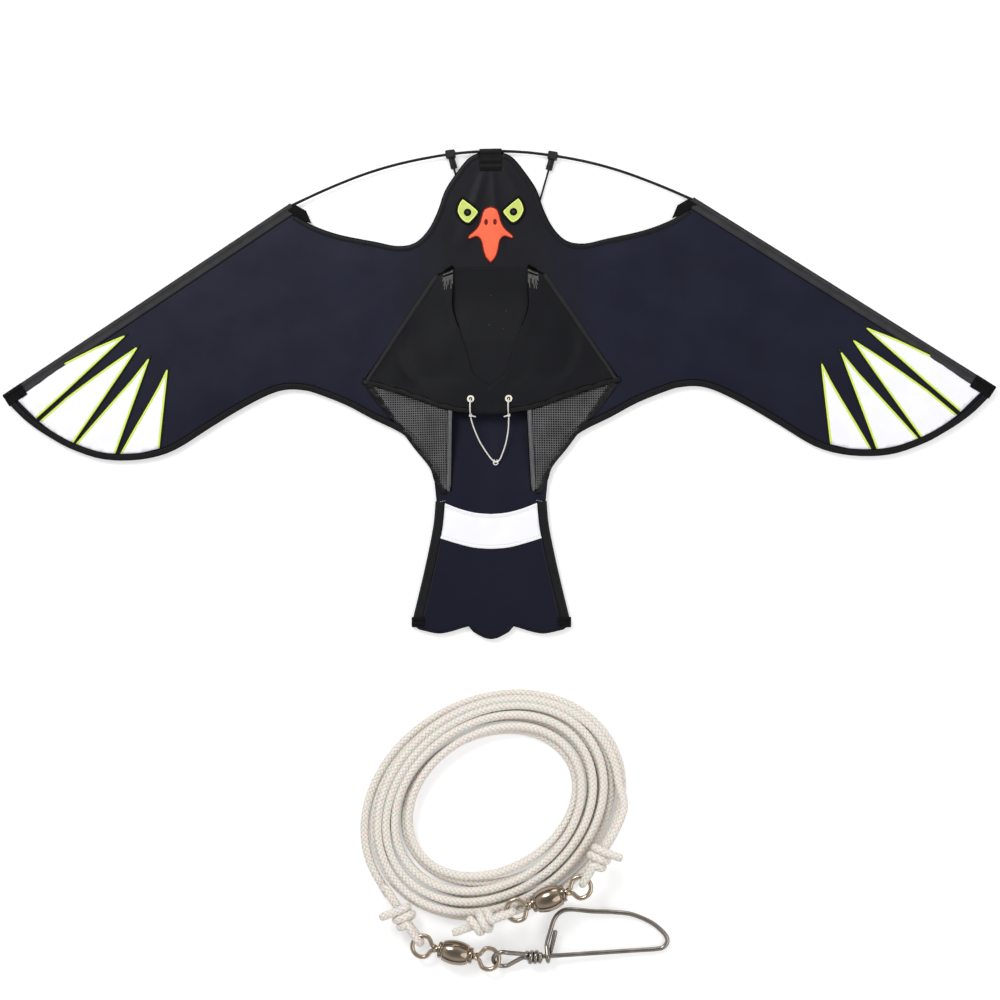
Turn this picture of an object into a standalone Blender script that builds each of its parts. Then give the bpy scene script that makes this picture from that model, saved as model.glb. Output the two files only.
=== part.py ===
"""Bird scarer kite with its line set, lying on its back.

Metres, +Z up. The floor is z = 0, the belly faces +Z, the head points to +Y
and the wings lie along X. Plan tables hold places in picture units, which
the span and the length of the kite turn into metres.
"""

from math import atan2, cos, pi, radians, sin, sqrt

import bmesh
import bpy
from mathutils import Euler, Matrix, Vector

# The whole kite
WING_SPAN = 1.200
KITE_LENGTH = 0.590
SPAN_PX = 992.6
LENGTH_PX = 488.0
MIDDLE_PX = 394.33

# Clearance between neighbours, and overrun of every cut
GAP = 0.0003
OVERRUN = 0.004

# Cloth
CLOTH = 0.0005
TAPE = 0.0006
SAIL_HEIGHT = 0.0067

# Rods
SPAR_RADIUS = 0.00175
STRUT_RADIUS = 0.00125
FERRULE_WALL = 0.0006
FERRULE_LENGTH = 0.024
CAP_WALL = 0.0006
CAP_LENGTH = 0.008
STRUT_LOW_HEIGHT = 0.00135
STRUT_CAP_LENGTH = 0.010

# Tees
TEE_WIDTH = 0.0115
TEE_DEPTH = 0.0098
TEE_HEIGHT = 0.011
TEE_ROUNDING = 0.0012
SOCKET_RADIUS = 0.0039
SOCKET_REACH = 0.0177
SOCKET_DEPTH = 0.0100
SOCKET_HEIGHT = 0.00415

# Sleeves and pockets
SLEEVE_WIDTH = 0.0127
TIP_POCKET_LENGTH = 0.027
TIP_POCKET_WIDTH = 0.0165
TAIL_SLEEVE_WIDTH = 0.0108
TAIL_POCKET_LENGTH = 0.018
TAIL_POCKET_WIDTH = 0.015
HEAD_TAB_WIDTH = 0.0266
HEAD_TAB_LENGTH = 0.0270

# Keel, its eyelets and the bridle
KEEL_RISE = 0.0143
EYELET_RADIUS = 0.00435
EYELET_HOLE = 0.0022
EYELET_WALL = 0.0005
BRIDLE_RADIUS = 0.0009
TIE_RADIUS = 0.0096
TIE_KNOT_RADIUS = 0.0021
TIE_TAIL = 0.0060
LOOP_RING_RADIUS = 0.0024
LOOP_WIRE_RADIUS = 0.0008
LOOP_TAIL = 0.0070

# Line set: cord, swivels and snap
LINE_RADIUS = 0.0047
LINE_GAP = 0.0005
COIL_LONG_RADIUS = 0.1656
COIL_SHORT_RADIUS = 0.1330
COIL_INNER_LONG_RADIUS = 0.1045
COIL_INNER_SHORT_RADIUS = 0.0795
COIL_TILT = radians(27)
COIL_LAYER_TURNS = 4.0
COIL_INNER_SPREAD = 0.0050
COIL_POINTS_A_TURN = 28
BARREL_RADIUS = 0.0148
BARREL_LENGTH = 0.0420
BARREL_WALL = 0.0034
COLLAR_RADIUS = 0.0098
COLLAR_LENGTH = 0.0048
WIRE_RADIUS = 0.0024
EYE_LENGTH = 0.0340
EYE_WIDTH = 0.0300
KNOT_TURNS = 2
KNOT_DIP = 0.0190
KNOT_TAIL = 0.0230
KNOT_LEAD = 0.0120
SNAP_LENGTH = 0.2080
SNAP_HEIGHT = 0.0540
SNAP_EYE_LENGTH = 0.0400
SNAP_EYE_WIDTH = 0.0290
SNAP_WRAPS = 3
SNAP_LINK = 0.0067
FREE_END = 0.0300
COIL_LEAD = 0.0160

# Plan tables in picture units: distance from the middle line, row
LEADING_EDGE_PX = [(202.0, 202.0), (496.3, 393.0)]
NECK_PX = [(197.0, 213.5), (182.0, 223.0), (164.0, 230.5), (145.0, 236.0), (115.0, 242.0),
           (94.0, 246.4), (76.0, 243.5), (62.5, 230.5), (53.0, 212.0), (46.0, 192.0),
           (35.0, 175.0), (22.5, 160.0), (11.8, 156.4)]
TRAILING_PX = [(489.0, 402.0), (475.0, 416.0), (460.0, 427.5), (443.0, 438.0), (427.0, 446.5),
               (400.0, 455.3), (374.5, 458.0), (345.6, 455.8), (318.5, 447.3), (287.0, 428.0),
               (258.0, 411.0), (232.0, 397.0), (215.0, 390.2), (202.0, 388.0), (190.0, 388.6),
               (178.0, 391.0), (146.0, 402.6), (119.0, 417.0), (89.0, 432.0), (70.0, 450.0),
               (58.5, 469.0), (56.7, 480.0)]
TAIL_SIDE_PX = [(55.5, 502.0), (57.5, 525.0), (63.0, 554.0), (70.0, 585.0), (79.7, 625.0)]
TAIL_END_PX = [(72.0, 629.4), (65.5, 631.0), (52.5, 633.5), (40.0, 631.5), (30.0, 628.4),
               (22.5, 626.3), (18.0, 631.6), (13.0, 634.5), (6.0, 638.0), (0.0, 639.0)]
SPAR_PX = [(14.0, 152.6), (37.0, 154.2), (60.0, 157.4), (83.0, 161.6), (106.5, 167.2),
           (130.0, 174.4), (153.0, 183.0), (176.0, 192.6)]
BAND_PX = [(0.0, 515.0), (16.0, 513.6), (32.0, 509.4), (45.9, 504.0), (47.8, 525.0), (50.2, 539.0),
           (34.0, 544.0), (17.0, 548.2), (0.0, 549.5)]
FEATHERS_PX = [
    [(369.0, 332.0), (400.0, 344.6), (434.0, 366.4), (458.0, 382.3), (480.5, 398.0),
     (459.5, 414.3), (430.0, 388.0), (400.0, 359.5)],
    [(356.5, 344.0), (387.0, 356.0), (415.0, 377.0), (456.5, 417.6), (440.0, 430.0),
     (422.5, 439.5), (389.0, 387.0)],
    [(344.7, 355.0), (364.0, 367.0), (384.0, 388.0), (420.0, 440.3), (400.0, 447.4),
     (380.0, 450.7), (366.0, 405.0)],
    [(326.0, 366.0), (342.0, 376.0), (356.0, 400.0), (374.6, 451.0), (355.0, 450.4),
     (335.5, 445.3), (331.5, 405.0)],
]
EYE_PX = [(28.0, 199.6), (21.5, 204.4), (13.6, 211.2), (12.6, 214.2), (17.0, 220.0),
          (22.4, 224.5), (29.0, 220.5), (33.0, 213.6), (33.0, 209.0), (31.0, 203.6)]
BEAK_PX = [(0.0, 208.3), (4.6, 209.8), (7.6, 213.6), (11.0, 225.0), (15.0, 231.0),
           (21.8, 237.2), (21.4, 239.9), (14.6, 237.6), (10.8, 239.6), (8.6, 244.0),
           (7.4, 251.0), (4.8, 258.6), (0.0, 264.0)]
KEEL_INNER_PX = [(37.5, 268.0), (37.5, 290.0), (37.5, 310.0), (30.0, 333.0), (21.0, 357.0),
                 (14.0, 383.0), (0.0, 389.0)]
KEEL_OUTER_PX = [(54.0, 276.5), (66.6, 294.5), (79.2, 312.4), (94.0, 333.5), (108.0, 353.5),
                 (121.0, 372.0), (126.4, 379.8)]
KEEL_HEM_PX = [(0.0, 417.0), (16.0, 415.8), (31.0, 413.4), (48.0, 410.0), (64.0, 404.0),
               (80.0, 398.0), (98.0, 392.2), (115.0, 387.4), (129.0, 383.5)]
KEEL_RISE_SHARES = [0.10, 0.28, 0.46, 0.64, 0.82, 0.96, 1.0, 1.0]
KEEL_FLAT_PX = 34.0
THROAT_TAB_ROW_SHARES = [0.06, 0.5, 0.92]
THROAT_TAB_ACROSS_SHARES = [0.03, 0.25, 0.48]
STRIP_TOP_PX = (39.5, 414.0)
STRIP_END_PX = (42.5, 492.0)
STRIP_WIDTH = 0.0058
MESH_OUTER_PX = [(113.0, 389.6), (95.0, 417.0), (76.0, 446.0), (60.0, 471.0), (50.0, 489.0)]
EYELET_PX = (18.9, 401.0)
TEE_LEFT_PX = -40.3
TEE_RIGHT_PX = 62.1
TAIL_CORNER_PX = (73.0, 620.0)
TAIL_POCKET_PX = (73.0, 629.5)
TAIL_SLEEVE_END_SHARE = 0.9
STRUT_CROSSING_SHARE = 0.36
SNAP_SHARES = [(0.80, 0.0), (0.93, 0.0), (0.975, 0.03), (1.0, 0.16), (0.985, 0.33), (0.916, 0.585),
               (0.81, 0.79), (0.70, 0.87), (0.585, 0.915), (0.43, 1.0), (0.37, 0.93),
               (0.345, 0.78), (0.342, 0.50), (0.342, 0.28)]
BRIDLE_PX = [(-18.9, 420.5), (-17.0, 427.0), (-14.0, 435.0), (-10.0, 444.0), (-3.5, 454.5),
             (1.5, 461.0), (5.5, 463.4), (9.0, 461.0), (12.5, 453.5), (16.0, 443.0),
             (18.2, 431.0), (18.9, 420.5)]
COIL_MIDDLE_PX = (4.6, 806.8)
COIL_INNER_MIDDLE_PX = (1.0, 799.5)
COIL_START = radians(214)
COIL_EXTRA_TURNS = 0.07
SWIVEL_1_PX = (58.2, 892.0)
SWIVEL_1_TURN = radians(20)
SWIVEL_2_PX = (-35.0, 947.6)
SWIVEL_2_TURN = radians(-10)
KNOT_1_HEADING = radians(58)
KNOT_2_HEADING = radians(123)
SNAP_TURN = radians(4)
SNAP_PITCH = radians(3)
SNAP_EYE_TILT = radians(40)

# Heights that follow from the sizes above
SAIL_TOP = SAIL_HEIGHT + CLOTH / 2
PATCH_HEIGHT = SAIL_TOP + GAP + CLOTH / 2
KEEL_BASE = SAIL_TOP + GAP + TAPE / 2
KEEL_HEIGHT = KEEL_BASE + KEEL_RISE
FOLD_BORE = SPAR_RADIUS + GAP
FOLD_RADIUS = FOLD_BORE + TAPE
FLAT_FOLD = CLOTH / 2 + GAP + TAPE
LINE_PITCH = 2 * LINE_RADIUS + LINE_GAP
COIL_END_SWELL = Vector((2 * LINE_RADIUS, 0.0, 0.0))

parts = bpy.data.collections.new("bird_scarer_kite")
cutters = bpy.data.collections.new("cutters")


def clear_scene():
    """Removes what the scene holds and links the two collections."""
    for obj in list(bpy.data.objects):
        bpy.data.objects.remove(obj)
    bpy.context.scene.collection.children.link(parts)
    bpy.context.scene.collection.children.link(cutters)


def material(name, colour, roughness=0.6, metallic=0.0):
    """Returns the Principled material of that name, made once."""
    found = bpy.data.materials.get(name)
    if found:
        return found
    made = bpy.data.materials.new(name)
    made.use_nodes = True
    shader = made.node_tree.nodes["Principled BSDF"]
    shader.inputs["Base Color"].default_value = (*colour, 1.0)
    shader.inputs["Roughness"].default_value = roughness
    shader.inputs["Metallic"].default_value = metallic
    return made


SATIN = ("satin", (0.019, 0.021, 0.028), 0.5)
BINDING = ("binding", (0.008, 0.008, 0.010), 0.8)
WHITE = ("white cloth", (0.86, 0.86, 0.88), 0.6)
KEEL_CLOTH = ("keel cloth", (0.017, 0.017, 0.019), 0.7)
MESH_CLOTH = ("mesh", (0.15, 0.14, 0.145), 0.8)
STRIP_CLOTH = ("light strip", (0.48, 0.48, 0.48), 0.7)
YELLOW = ("eye yellow", (0.72, 0.84, 0.10), 0.5)
ORANGE = ("beak orange", (1.0, 0.14, 0.06), 0.5)
ROD = ("rod", (0.012, 0.012, 0.013), 0.4)
RUBBER = ("tee rubber", (0.010, 0.010, 0.011), 0.6)
NICKEL = ("nickel", (0.42, 0.39, 0.36), 0.25, 1.0)
CREAM = ("bridle cord", (0.66, 0.60, 0.48), 0.8)
NYLON = ("line cord", (0.76, 0.73, 0.67), 0.7)


def kite_x(column):
    """Turns a distance from the middle line in picture units into metres."""
    return column / SPAN_PX * WING_SPAN


def kite_y(row):
    """Turns a picture row into metres."""
    return (MIDDLE_PX - row) / LENGTH_PX * KITE_LENGTH


def plan(points, side=1):
    """Turns a table in picture units into points on one side of the kite."""
    return [Vector((side * kite_x(column), kite_y(row), 0.0)) for column, row in points]


def smooth(points, steps):
    """Reads a smooth curve through the points, that many steps a span."""
    found = []
    last = len(points) - 1
    for i in range(last):
        before = points[max(i - 1, 0)]
        after = points[min(i + 2, last)]
        a, b = points[i], points[i + 1]
        for n in range(steps):
            t = n / steps
            found.append(
                0.5 * ((2 * a) + (b - before) * t
                       + (2 * before - 5 * a + 4 * b - after) * t * t
                       + (3 * a - before - 3 * b + after) * t * t * t)
            )
    found.append(points[last].copy())
    return found


def even(points, step):
    """Reads points at even steps along a line of close points."""
    total = sum((b - a).length for a, b in zip(points, points[1:]))
    count = max(2, round(total / step))
    found = [points[0].copy()]
    done = 0.0
    for a, b in zip(points, points[1:]):
        run = (b - a).length
        while run > 0 and len(found) < count and done + run >= total / count * len(found):
            found.append(a.lerp(b, (total / count * len(found) - done) / run))
        done += run
    found.append(points[-1].copy())
    return found


def finish(obj, look, collection=parts):
    """Links an object, gives it its material and returns it."""
    collection.objects.link(obj)
    if look:
        obj.data.materials.clear()
        obj.data.materials.append(material(*look))
    return obj


def curve_object(name, points, look, cyclic=False, flat=False):
    """Makes a curve object from one POLY spline."""
    data = bpy.data.curves.new(name, "CURVE")
    data.dimensions = "2D" if flat else "3D"
    data.resolution_u = 1
    spline = data.splines.new("POLY")
    spline.points.add(len(points) - 1)
    for point, place in zip(spline.points, points):
        point.co = (place[0], place[1], 0.0 if flat else place[2], 1.0)
    spline.use_cyclic_u = cyclic
    return finish(bpy.data.objects.new(name, data), look)


def sheet(name, outline, look, height=SAIL_HEIGHT, thickness=CLOTH):
    """Makes a flat piece of cloth from its outline, centred on a height."""
    obj = curve_object(name, outline, look, cyclic=True, flat=True)
    obj.data.fill_mode = "BOTH"
    obj.data.extrude = thickness / 2
    obj.location.z = height
    return obj


def tube(name, points, radius, look, sides=2, cyclic=False):
    """Makes a round rod, wire or cord along points."""
    obj = curve_object(name, points, look, cyclic=cyclic)
    obj.data.twist_mode = "MINIMUM"
    obj.data.bevel_depth = radius
    obj.data.bevel_resolution = sides
    obj.data.use_fill_caps = not cyclic
    return obj


def as_mesh(obj):
    """Turns a curve object, or one with modifiers, into a welded mesh object."""
    bpy.context.view_layer.update()
    data = bpy.data.meshes.new_from_object(obj.evaluated_get(bpy.context.evaluated_depsgraph_get()))
    work = bmesh.new()
    work.from_mesh(data)
    bmesh.ops.remove_doubles(work, verts=work.verts, dist=1e-6)
    bmesh.ops.recalc_face_normals(work, faces=work.faces)
    work.to_mesh(data)
    work.free()
    made = bpy.data.objects.new("meshed", data)
    made.matrix_world = obj.matrix_world.copy()
    holder = obj.users_collection[0]
    name = obj.name
    bpy.data.objects.remove(obj)
    made.name = name
    holder.objects.link(made)
    return made


def mesh_object(name, points, faces, look, collection=parts):
    """Makes a mesh object with faces that point out."""
    data = bpy.data.meshes.new(name)
    data.from_pydata([tuple(p) for p in points], [], faces)
    work = bmesh.new()
    work.from_mesh(data)
    bmesh.ops.recalc_face_normals(work, faces=work.faces)
    work.to_mesh(data)
    work.free()
    return finish(bpy.data.objects.new(name, data), look, collection)


def swept(name, path, section, look):
    """Sweeps a closed section along a level path, its second value upward.

    The first value of a section point goes to the right of the path.
    """
    points, faces = [], []
    size = len(section)
    for i, place in enumerate(path):
        along = path[min(i + 1, len(path) - 1)] - path[max(i - 1, 0)]
        right = Vector((along.y, -along.x, 0.0)).normalized()
        for across, up in section:
            points.append(place + right * across + Vector((0.0, 0.0, up)))
    for i in range(len(path) - 1):
        for j in range(size):
            k = (j + 1) % size
            faces.append((i * size + j, i * size + k, (i + 1) * size + k, (i + 1) * size + j))
    faces.append(tuple(range(size)))
    faces.append(tuple(reversed(range(len(points) - size, len(points)))))
    return mesh_object(name, points, faces, look)


def turned(name, profile, look, steps=16, turn=Matrix.Identity(4), collection=parts):
    """Turns a closed profile of (radius, height) round Z, then places it."""
    data = bpy.data.meshes.new(name)
    count = len(profile)
    edges = [(i, (i + 1) % count) for i in range(count)]
    data.from_pydata([(r, 0.0, z) for r, z in profile], edges, [])
    obj = finish(bpy.data.objects.new(name, data), look, collection)
    screw = obj.modifiers.new("turn", "SCREW")
    screw.steps = steps
    screw.render_steps = steps
    screw.use_merge_vertices = True
    screw.merge_threshold = 1e-6
    obj.matrix_world = turn
    return as_mesh(obj)


def cylinder(name, radius, length, turn, look=None, sides=16, collection=parts):
    """Makes a solid cylinder centred on a placed frame, along its Z."""
    data = bpy.data.meshes.new(name)
    work = bmesh.new()
    bmesh.ops.create_cone(work, cap_ends=True, segments=sides, radius1=radius, radius2=radius,
                          depth=length)
    work.to_mesh(data)
    work.free()
    obj = finish(bpy.data.objects.new(name, data), look, collection)
    obj.matrix_world = turn
    return obj


def block(name, size, turn, look=None, collection=parts):
    """Makes a box of a size, centred on a placed frame."""
    data = bpy.data.meshes.new(name)
    work = bmesh.new()
    bmesh.ops.create_cube(work, size=1.0)
    bmesh.ops.scale(work, vec=size, verts=work.verts)
    work.to_mesh(data)
    work.free()
    obj = finish(bpy.data.objects.new(name, data), look, collection)
    obj.matrix_world = turn
    return obj


def combine(obj, other, operation):
    """Cuts or joins with another object, at once, and removes that object."""
    other.hide_render = True
    other.display_type = "WIRE"
    modifier = obj.modifiers.new(operation.lower(), "BOOLEAN")
    modifier.operation = operation
    modifier.object = other
    bpy.context.view_layer.update()
    data = bpy.data.meshes.new_from_object(obj.evaluated_get(bpy.context.evaluated_depsgraph_get()))
    obj.modifiers.remove(modifier)
    obj.data = data
    bpy.data.objects.remove(other)
    return obj


def round_off(obj, angle=40):
    """Shades a round piece smooth, with its true edges sharp."""
    if obj.type == "CURVE":
        for spline in obj.data.splines:
            spline.use_smooth = True
        return obj
    obj.data.shade_smooth()
    obj.data.set_sharp_from_angle(angle=radians(angle))
    return obj


def facing(place, along, up=Vector((0.0, 0.0, 1.0))):
    """Returns the frame at a place whose Z runs along a direction."""
    z = along.normalized()
    x = up.cross(z)
    x = x.normalized() if x.length > 1e-6 else Vector((1.0, 0.0, 0.0))
    y = z.cross(x)
    frame = Matrix((x, y, z)).transposed().to_4x4()
    frame.translation = place
    return frame


def fold_section(width, radius, wall, opening):
    """Returns the section of tape folded round a rod, flaps to the right.

    The fold's middle is at zero, its outer radius is radius, and its flaps
    leave an opening of that height between them and end width from the
    fold's outer edge.
    """
    bore = radius - wall
    outer = opening / 2 + wall
    end = width - radius
    start = atan2(outer, sqrt(radius * radius - outer * outer))
    inner = atan2(opening / 2, sqrt(bore * bore - opening * opening / 4))
    steps = 10
    section = [(end, outer)]
    for n in range(steps + 1):
        angle = start + (2 * pi - 2 * start) * n / steps
        section.append((radius * cos(angle), radius * sin(angle)))
    section.append((end, -outer))
    section.append((end, -opening / 2))
    for n in range(steps + 1):
        angle = 2 * pi - inner - (2 * pi - 2 * inner) * n / steps
        section.append((bore * cos(angle), bore * sin(angle)))
    section.append((end, opening / 2))
    return section


def rods():
    """Makes the spar's halves with ferrule and caps, the struts and the tees."""
    for side, word in ((-1, "left"), (1, "right")):
        mouth, tip, along, inward = leading_line(side)
        bow = [Vector((0.0, kite_y(SPAR_PX[0][1]), 0.0))] + plan(SPAR_PX, side) + [mouth]
        path = smooth(bow, 3)
        path[0].x = side * GAP / 2
        path.append(tip - along * (2 * GAP + CAP_WALL + TAPE))
        path = [Vector((p.x, p.y, SAIL_HEIGHT)) for p in path]
        round_off(tube("spar_" + word, path, SPAR_RADIUS, ROD))
        end = tip - along * (TAPE + GAP)
        end.z = SAIL_HEIGHT
        cap("spar_tip_cap_" + word, end, along, SPAR_RADIUS, CAP_LENGTH)

    sleeve = [(SPAR_RADIUS + GAP + FERRULE_WALL, FERRULE_LENGTH / 2),
              (SPAR_RADIUS + GAP + FERRULE_WALL, -FERRULE_LENGTH / 2),
              (SPAR_RADIUS + GAP, -FERRULE_LENGTH / 2), (SPAR_RADIUS + GAP, FERRULE_LENGTH / 2)]
    middle = Vector((0.0, kite_y(SPAR_PX[0][1]), SAIL_HEIGHT))
    round_off(turned("spar_ferrule", sleeve, NICKEL, 16, facing(middle, Vector((1.0, 0.0, 0.0)))))

    for column, corner, word, low in (
        (TEE_LEFT_PX, 1, "left", False),
        (TEE_RIGHT_PX, -1, "right", True),
    ):
        place, tangent = spar_at(column)
        target = plan([TAIL_CORNER_PX], corner)[0]
        run = (target - place).normalized()
        tee("tee_" + word, place, tangent, run)
        cap_radius = STRUT_RADIUS + GAP + CAP_WALL
        end_height = TAPE + GAP + cap_radius
        start = place + run * (SOCKET_REACH - SOCKET_DEPTH + GAP)
        mouth = place + run * SOCKET_REACH
        middle = start.lerp(target, STRUT_CROSSING_SHARE)
        middle_height = STRUT_LOW_HEIGHT if low else SOCKET_HEIGHT
        route = [
            Vector((start.x, start.y, SOCKET_HEIGHT)),
            Vector((mouth.x, mouth.y, SOCKET_HEIGHT)),
            Vector((middle.x, middle.y, middle_height)),
            Vector((target.x, target.y, end_height)),
        ]
        path = [route[0]] + smooth(route[1:], 8)
        round_off(tube("strut_" + word, path, STRUT_RADIUS, ROD))
        end = path[-1] + (path[-1] - path[-2]).normalized() * (GAP + CAP_WALL)
        cap("strut_cap_" + ("right" if corner > 0 else "left"), end, path[-1] - path[-2],
            STRUT_RADIUS, STRUT_CAP_LENGTH)


def cap(name, end, along, rod_radius, length):
    """Makes a cup that sits over a rod and closes at its end."""
    outer = rod_radius + GAP + CAP_WALL
    inner = rod_radius + GAP
    profile = [(0.0, 0.0), (outer - CAP_WALL / 2, 0.0), (outer, -CAP_WALL / 2), (outer, -length),
               (inner, -length), (inner, -CAP_WALL), (0.0, -CAP_WALL)]
    round_off(turned(name, profile, RUBBER, 12, facing(end, along)))


def spar_at(column):
    """Returns the bowed spar's place and direction at a distance from the middle."""
    side = 1 if column > 0 else -1
    mouth = leading_line(side)[0]
    path = smooth([Vector((0.0, kite_y(SPAR_PX[0][1]), 0.0))] + plan(SPAR_PX, side) + [mouth], 3)
    reach = abs(kite_x(column))
    for a, b in zip(path, path[1:]):
        if abs(a.x) <= reach <= abs(b.x):
            share = (reach - abs(a.x)) / (abs(b.x) - abs(a.x))
            tangent = (b - a).normalized() * side
            return a.lerp(b, share), tangent
    return path[-1], Vector((1.0, 0.0, 0.0))


def tee(name, place, tangent, run):
    """Makes a moulded tee: a block on the spar with a socket for the strut."""
    base = Vector((place.x, place.y, TEE_HEIGHT / 2))
    turn = Matrix.Translation(base) @ Matrix.Rotation(atan2(tangent.y, tangent.x), 4, "Z")
    body = block(name, Vector((TEE_WIDTH, TEE_DEPTH, TEE_HEIGHT)), turn, RUBBER)
    work = bmesh.new()
    work.from_mesh(body.data)
    bmesh.ops.bevel(work, geom=work.edges[:], offset=TEE_ROUNDING, segments=2, profile=0.5,
                    affect="EDGES")
    work.to_mesh(body.data)
    work.free()
    length = SOCKET_REACH - TEE_DEPTH / 4
    centre = place + run * (TEE_DEPTH / 4 + length / 2)
    centre.z = SOCKET_HEIGHT
    combine(body, cylinder("socket", SOCKET_RADIUS, length, facing(centre, run), RUBBER), "UNION")
    axis = Vector((place.x, place.y, SAIL_HEIGHT))
    combine(body, cylinder("bore", SPAR_RADIUS + GAP, TEE_WIDTH + OVERRUN, facing(axis, tangent),
                           collection=cutters), "DIFFERENCE")
    mouth = place + run * (SOCKET_REACH - SOCKET_DEPTH + (SOCKET_DEPTH + OVERRUN) / 2)
    mouth.z = SOCKET_HEIGHT
    combine(body, cylinder("hole", STRUT_RADIUS + GAP, SOCKET_DEPTH + OVERRUN, facing(mouth, run),
                           sides=12, collection=cutters), "DIFFERENCE")
    round_off(body)


def leading_line(side):
    """Returns the sleeve axis' inner and outer end, its direction and the inward one."""
    inner, outer = plan(LEADING_EDGE_PX, side)
    along = (outer - inner).normalized()
    inward = Vector((-side * abs(along.y), -abs(along.x), 0.0))
    return inner + inward * FOLD_RADIUS, outer + inward * FOLD_RADIUS, along, inward


def sail():
    """Makes the sail, edge to edge inside its sleeves."""
    halves = []
    for side in (1, -1):
        mouth, tip, along, inward = leading_line(side)
        inset = FOLD_RADIUS + GAP
        half = list(reversed(plan(NECK_PX, side)))
        half.append(mouth + inward * inset)
        half.append(tip + inward * inset - along * (TAPE + 3 * GAP))
        half += plan(TRAILING_PX, side)
        half += [p - Vector((side * FLAT_FOLD, 0.0, 0.0)) for p in plan(TAIL_SIDE_PX, side)]
        half += plan(TAIL_END_PX, side)
        halves.append(half)
    outline = halves[0] + list(reversed(halves[1][:-1]))
    sheet("sail", outline, SATIN)


def sleeves():
    """Makes the wing sleeves, the tip pockets and the tape along the tail."""
    for side, word in ((-1, "left"), (1, "right")):
        mouth, tip, along, inward = leading_line(side)
        section = fold_section(SLEEVE_WIDTH, FOLD_RADIUS, TAPE, CLOTH + 2 * GAP)
        end = tip - along * (TAPE + 2 * GAP + CAP_LENGTH)
        ordered(swept, "wing_sleeve_" + word, [mouth, end], section, BINDING, side)

        radius = FOLD_RADIUS + GAP + TAPE
        opening = CLOTH + 4 * GAP + 2 * TAPE
        section = fold_section(TIP_POCKET_WIDTH, radius, TAPE, opening)
        start = tip - along * TIP_POCKET_LENGTH
        pocket = ordered(swept, "wing_tip_pocket_" + word, [start, tip], section, BINDING, side)
        half = len(section) // 2
        wall = ordered(swept, "wall", [tip - along * TAPE, tip], section[:half], BINDING, side)
        combine(pocket, wall, "UNION")
        round_off(pocket)

        edge = plan(TAIL_SIDE_PX, side)
        section = fold_section(TAIL_SLEEVE_WIDTH, FLAT_FOLD, TAPE, 2 * (FLAT_FOLD - TAPE))
        path = [p - Vector((side * FLAT_FOLD, 0.0, 0.0)) for p in edge]
        path[-1] = path[-2].lerp(path[-1], TAIL_SLEEVE_END_SHARE)
        ordered(swept, "tail_sleeve_" + word, path, section, BINDING, side)

        top = SAIL_HEIGHT + FLAT_FOLD + GAP + TAPE
        section = fold_section(TAIL_POCKET_LENGTH, top / 2, TAPE, top - 2 * TAPE - GAP)
        corner = plan([TAIL_POCKET_PX], side)[0]
        reach = Vector((TAIL_POCKET_WIDTH / 2, 0.0, 0.0))
        path = [corner + reach, corner - reach]
        for p in path:
            p.z = top / 2
        round_off(swept("tail_pocket_" + word, path, section, BINDING))

    radius = SPAR_RADIUS + 2 * GAP + FERRULE_WALL + TAPE
    section = fold_section(HEAD_TAB_LENGTH, radius, TAPE, CLOTH + 2 * GAP)
    middle = Vector((0.0, kite_y(SPAR_PX[0][1]), SAIL_HEIGHT))
    reach = Vector((HEAD_TAB_WIDTH / 2, 0.0, 0.0))
    round_off(swept("head_tab", [middle - reach, middle + reach], section, BINDING))


def ordered(make, name, path, section, look, side):
    """Sweeps along a path so that its right side faces the middle of the cloth."""
    path = [Vector((p.x, p.y, SAIL_HEIGHT)) for p in path]
    return make(name, path if side > 0 else list(reversed(path)), section, look)


def patches():
    """Makes the flat sewn pieces: band, feathers, eyes and beak."""
    right = plan(BAND_PX, 1)
    left = plan(BAND_PX, -1)
    outline = right + list(reversed(left[1:-1]))
    sheet("tail_band", outline, WHITE, PATCH_HEIGHT)
    for side, word in ((-1, "left"), (1, "right")):
        for n, table in enumerate(FEATHERS_PX):
            name = "feather_" + word + "_" + str(n + 1)
            sheet(name, plan(table, side), WHITE, PATCH_HEIGHT)
        sheet("eye_" + word, plan(EYE_PX, side), YELLOW, PATCH_HEIGHT)
    right = plan(BEAK_PX, 1)
    left = plan(BEAK_PX, -1)
    sheet("beak", right + list(reversed(left[1:-1])), ORANGE, PATCH_HEIGHT)


def crown_share(column, edge):
    """Returns how high the keel stands at a distance from the middle, 1 to 0."""
    if column <= KEEL_FLAT_PX:
        return 1.0
    return cos(pi / 2 * min(1.0, (column - KEEL_FLAT_PX) / (edge - KEEL_FLAT_PX))) ** 2


def hem_row(column):
    """Returns the picture row of the keel's rear hem at a distance from the middle."""
    for (c0, r0), (c1, r1) in zip(KEEL_HEM_PX, KEEL_HEM_PX[1:]):
        if c0 <= column <= c1:
            return r0 + (r1 - r0) * (column - c0) / (c1 - c0)
    return KEEL_HEM_PX[-1][1]


def keel_grid():
    """Returns the rows of the keel's right half, throat to rear hem."""
    columns = len(KEEL_HEM_PX)
    rows = []
    for n, (inner, outer) in enumerate(zip(KEEL_INNER_PX, KEEL_OUTER_PX)):
        row = []
        for k in range(columns):
            share = k / (columns - 1)
            column = inner[0] + (outer[0] - inner[0]) * share
            line = inner[1] + (outer[1] - inner[1]) * share
            rise = KEEL_RISE * KEEL_RISE_SHARES[n] * crown_share(column, outer[0])
            row.append(Vector((kite_x(column), kite_y(line), KEEL_BASE + rise)))
        rows.append(row)
    edge = KEEL_HEM_PX[-1][0]
    rows.append([
        Vector((kite_x(c), kite_y(r), KEEL_BASE + KEEL_RISE * crown_share(c, edge)))
        for c, r in KEEL_HEM_PX
    ])
    return rows


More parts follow.
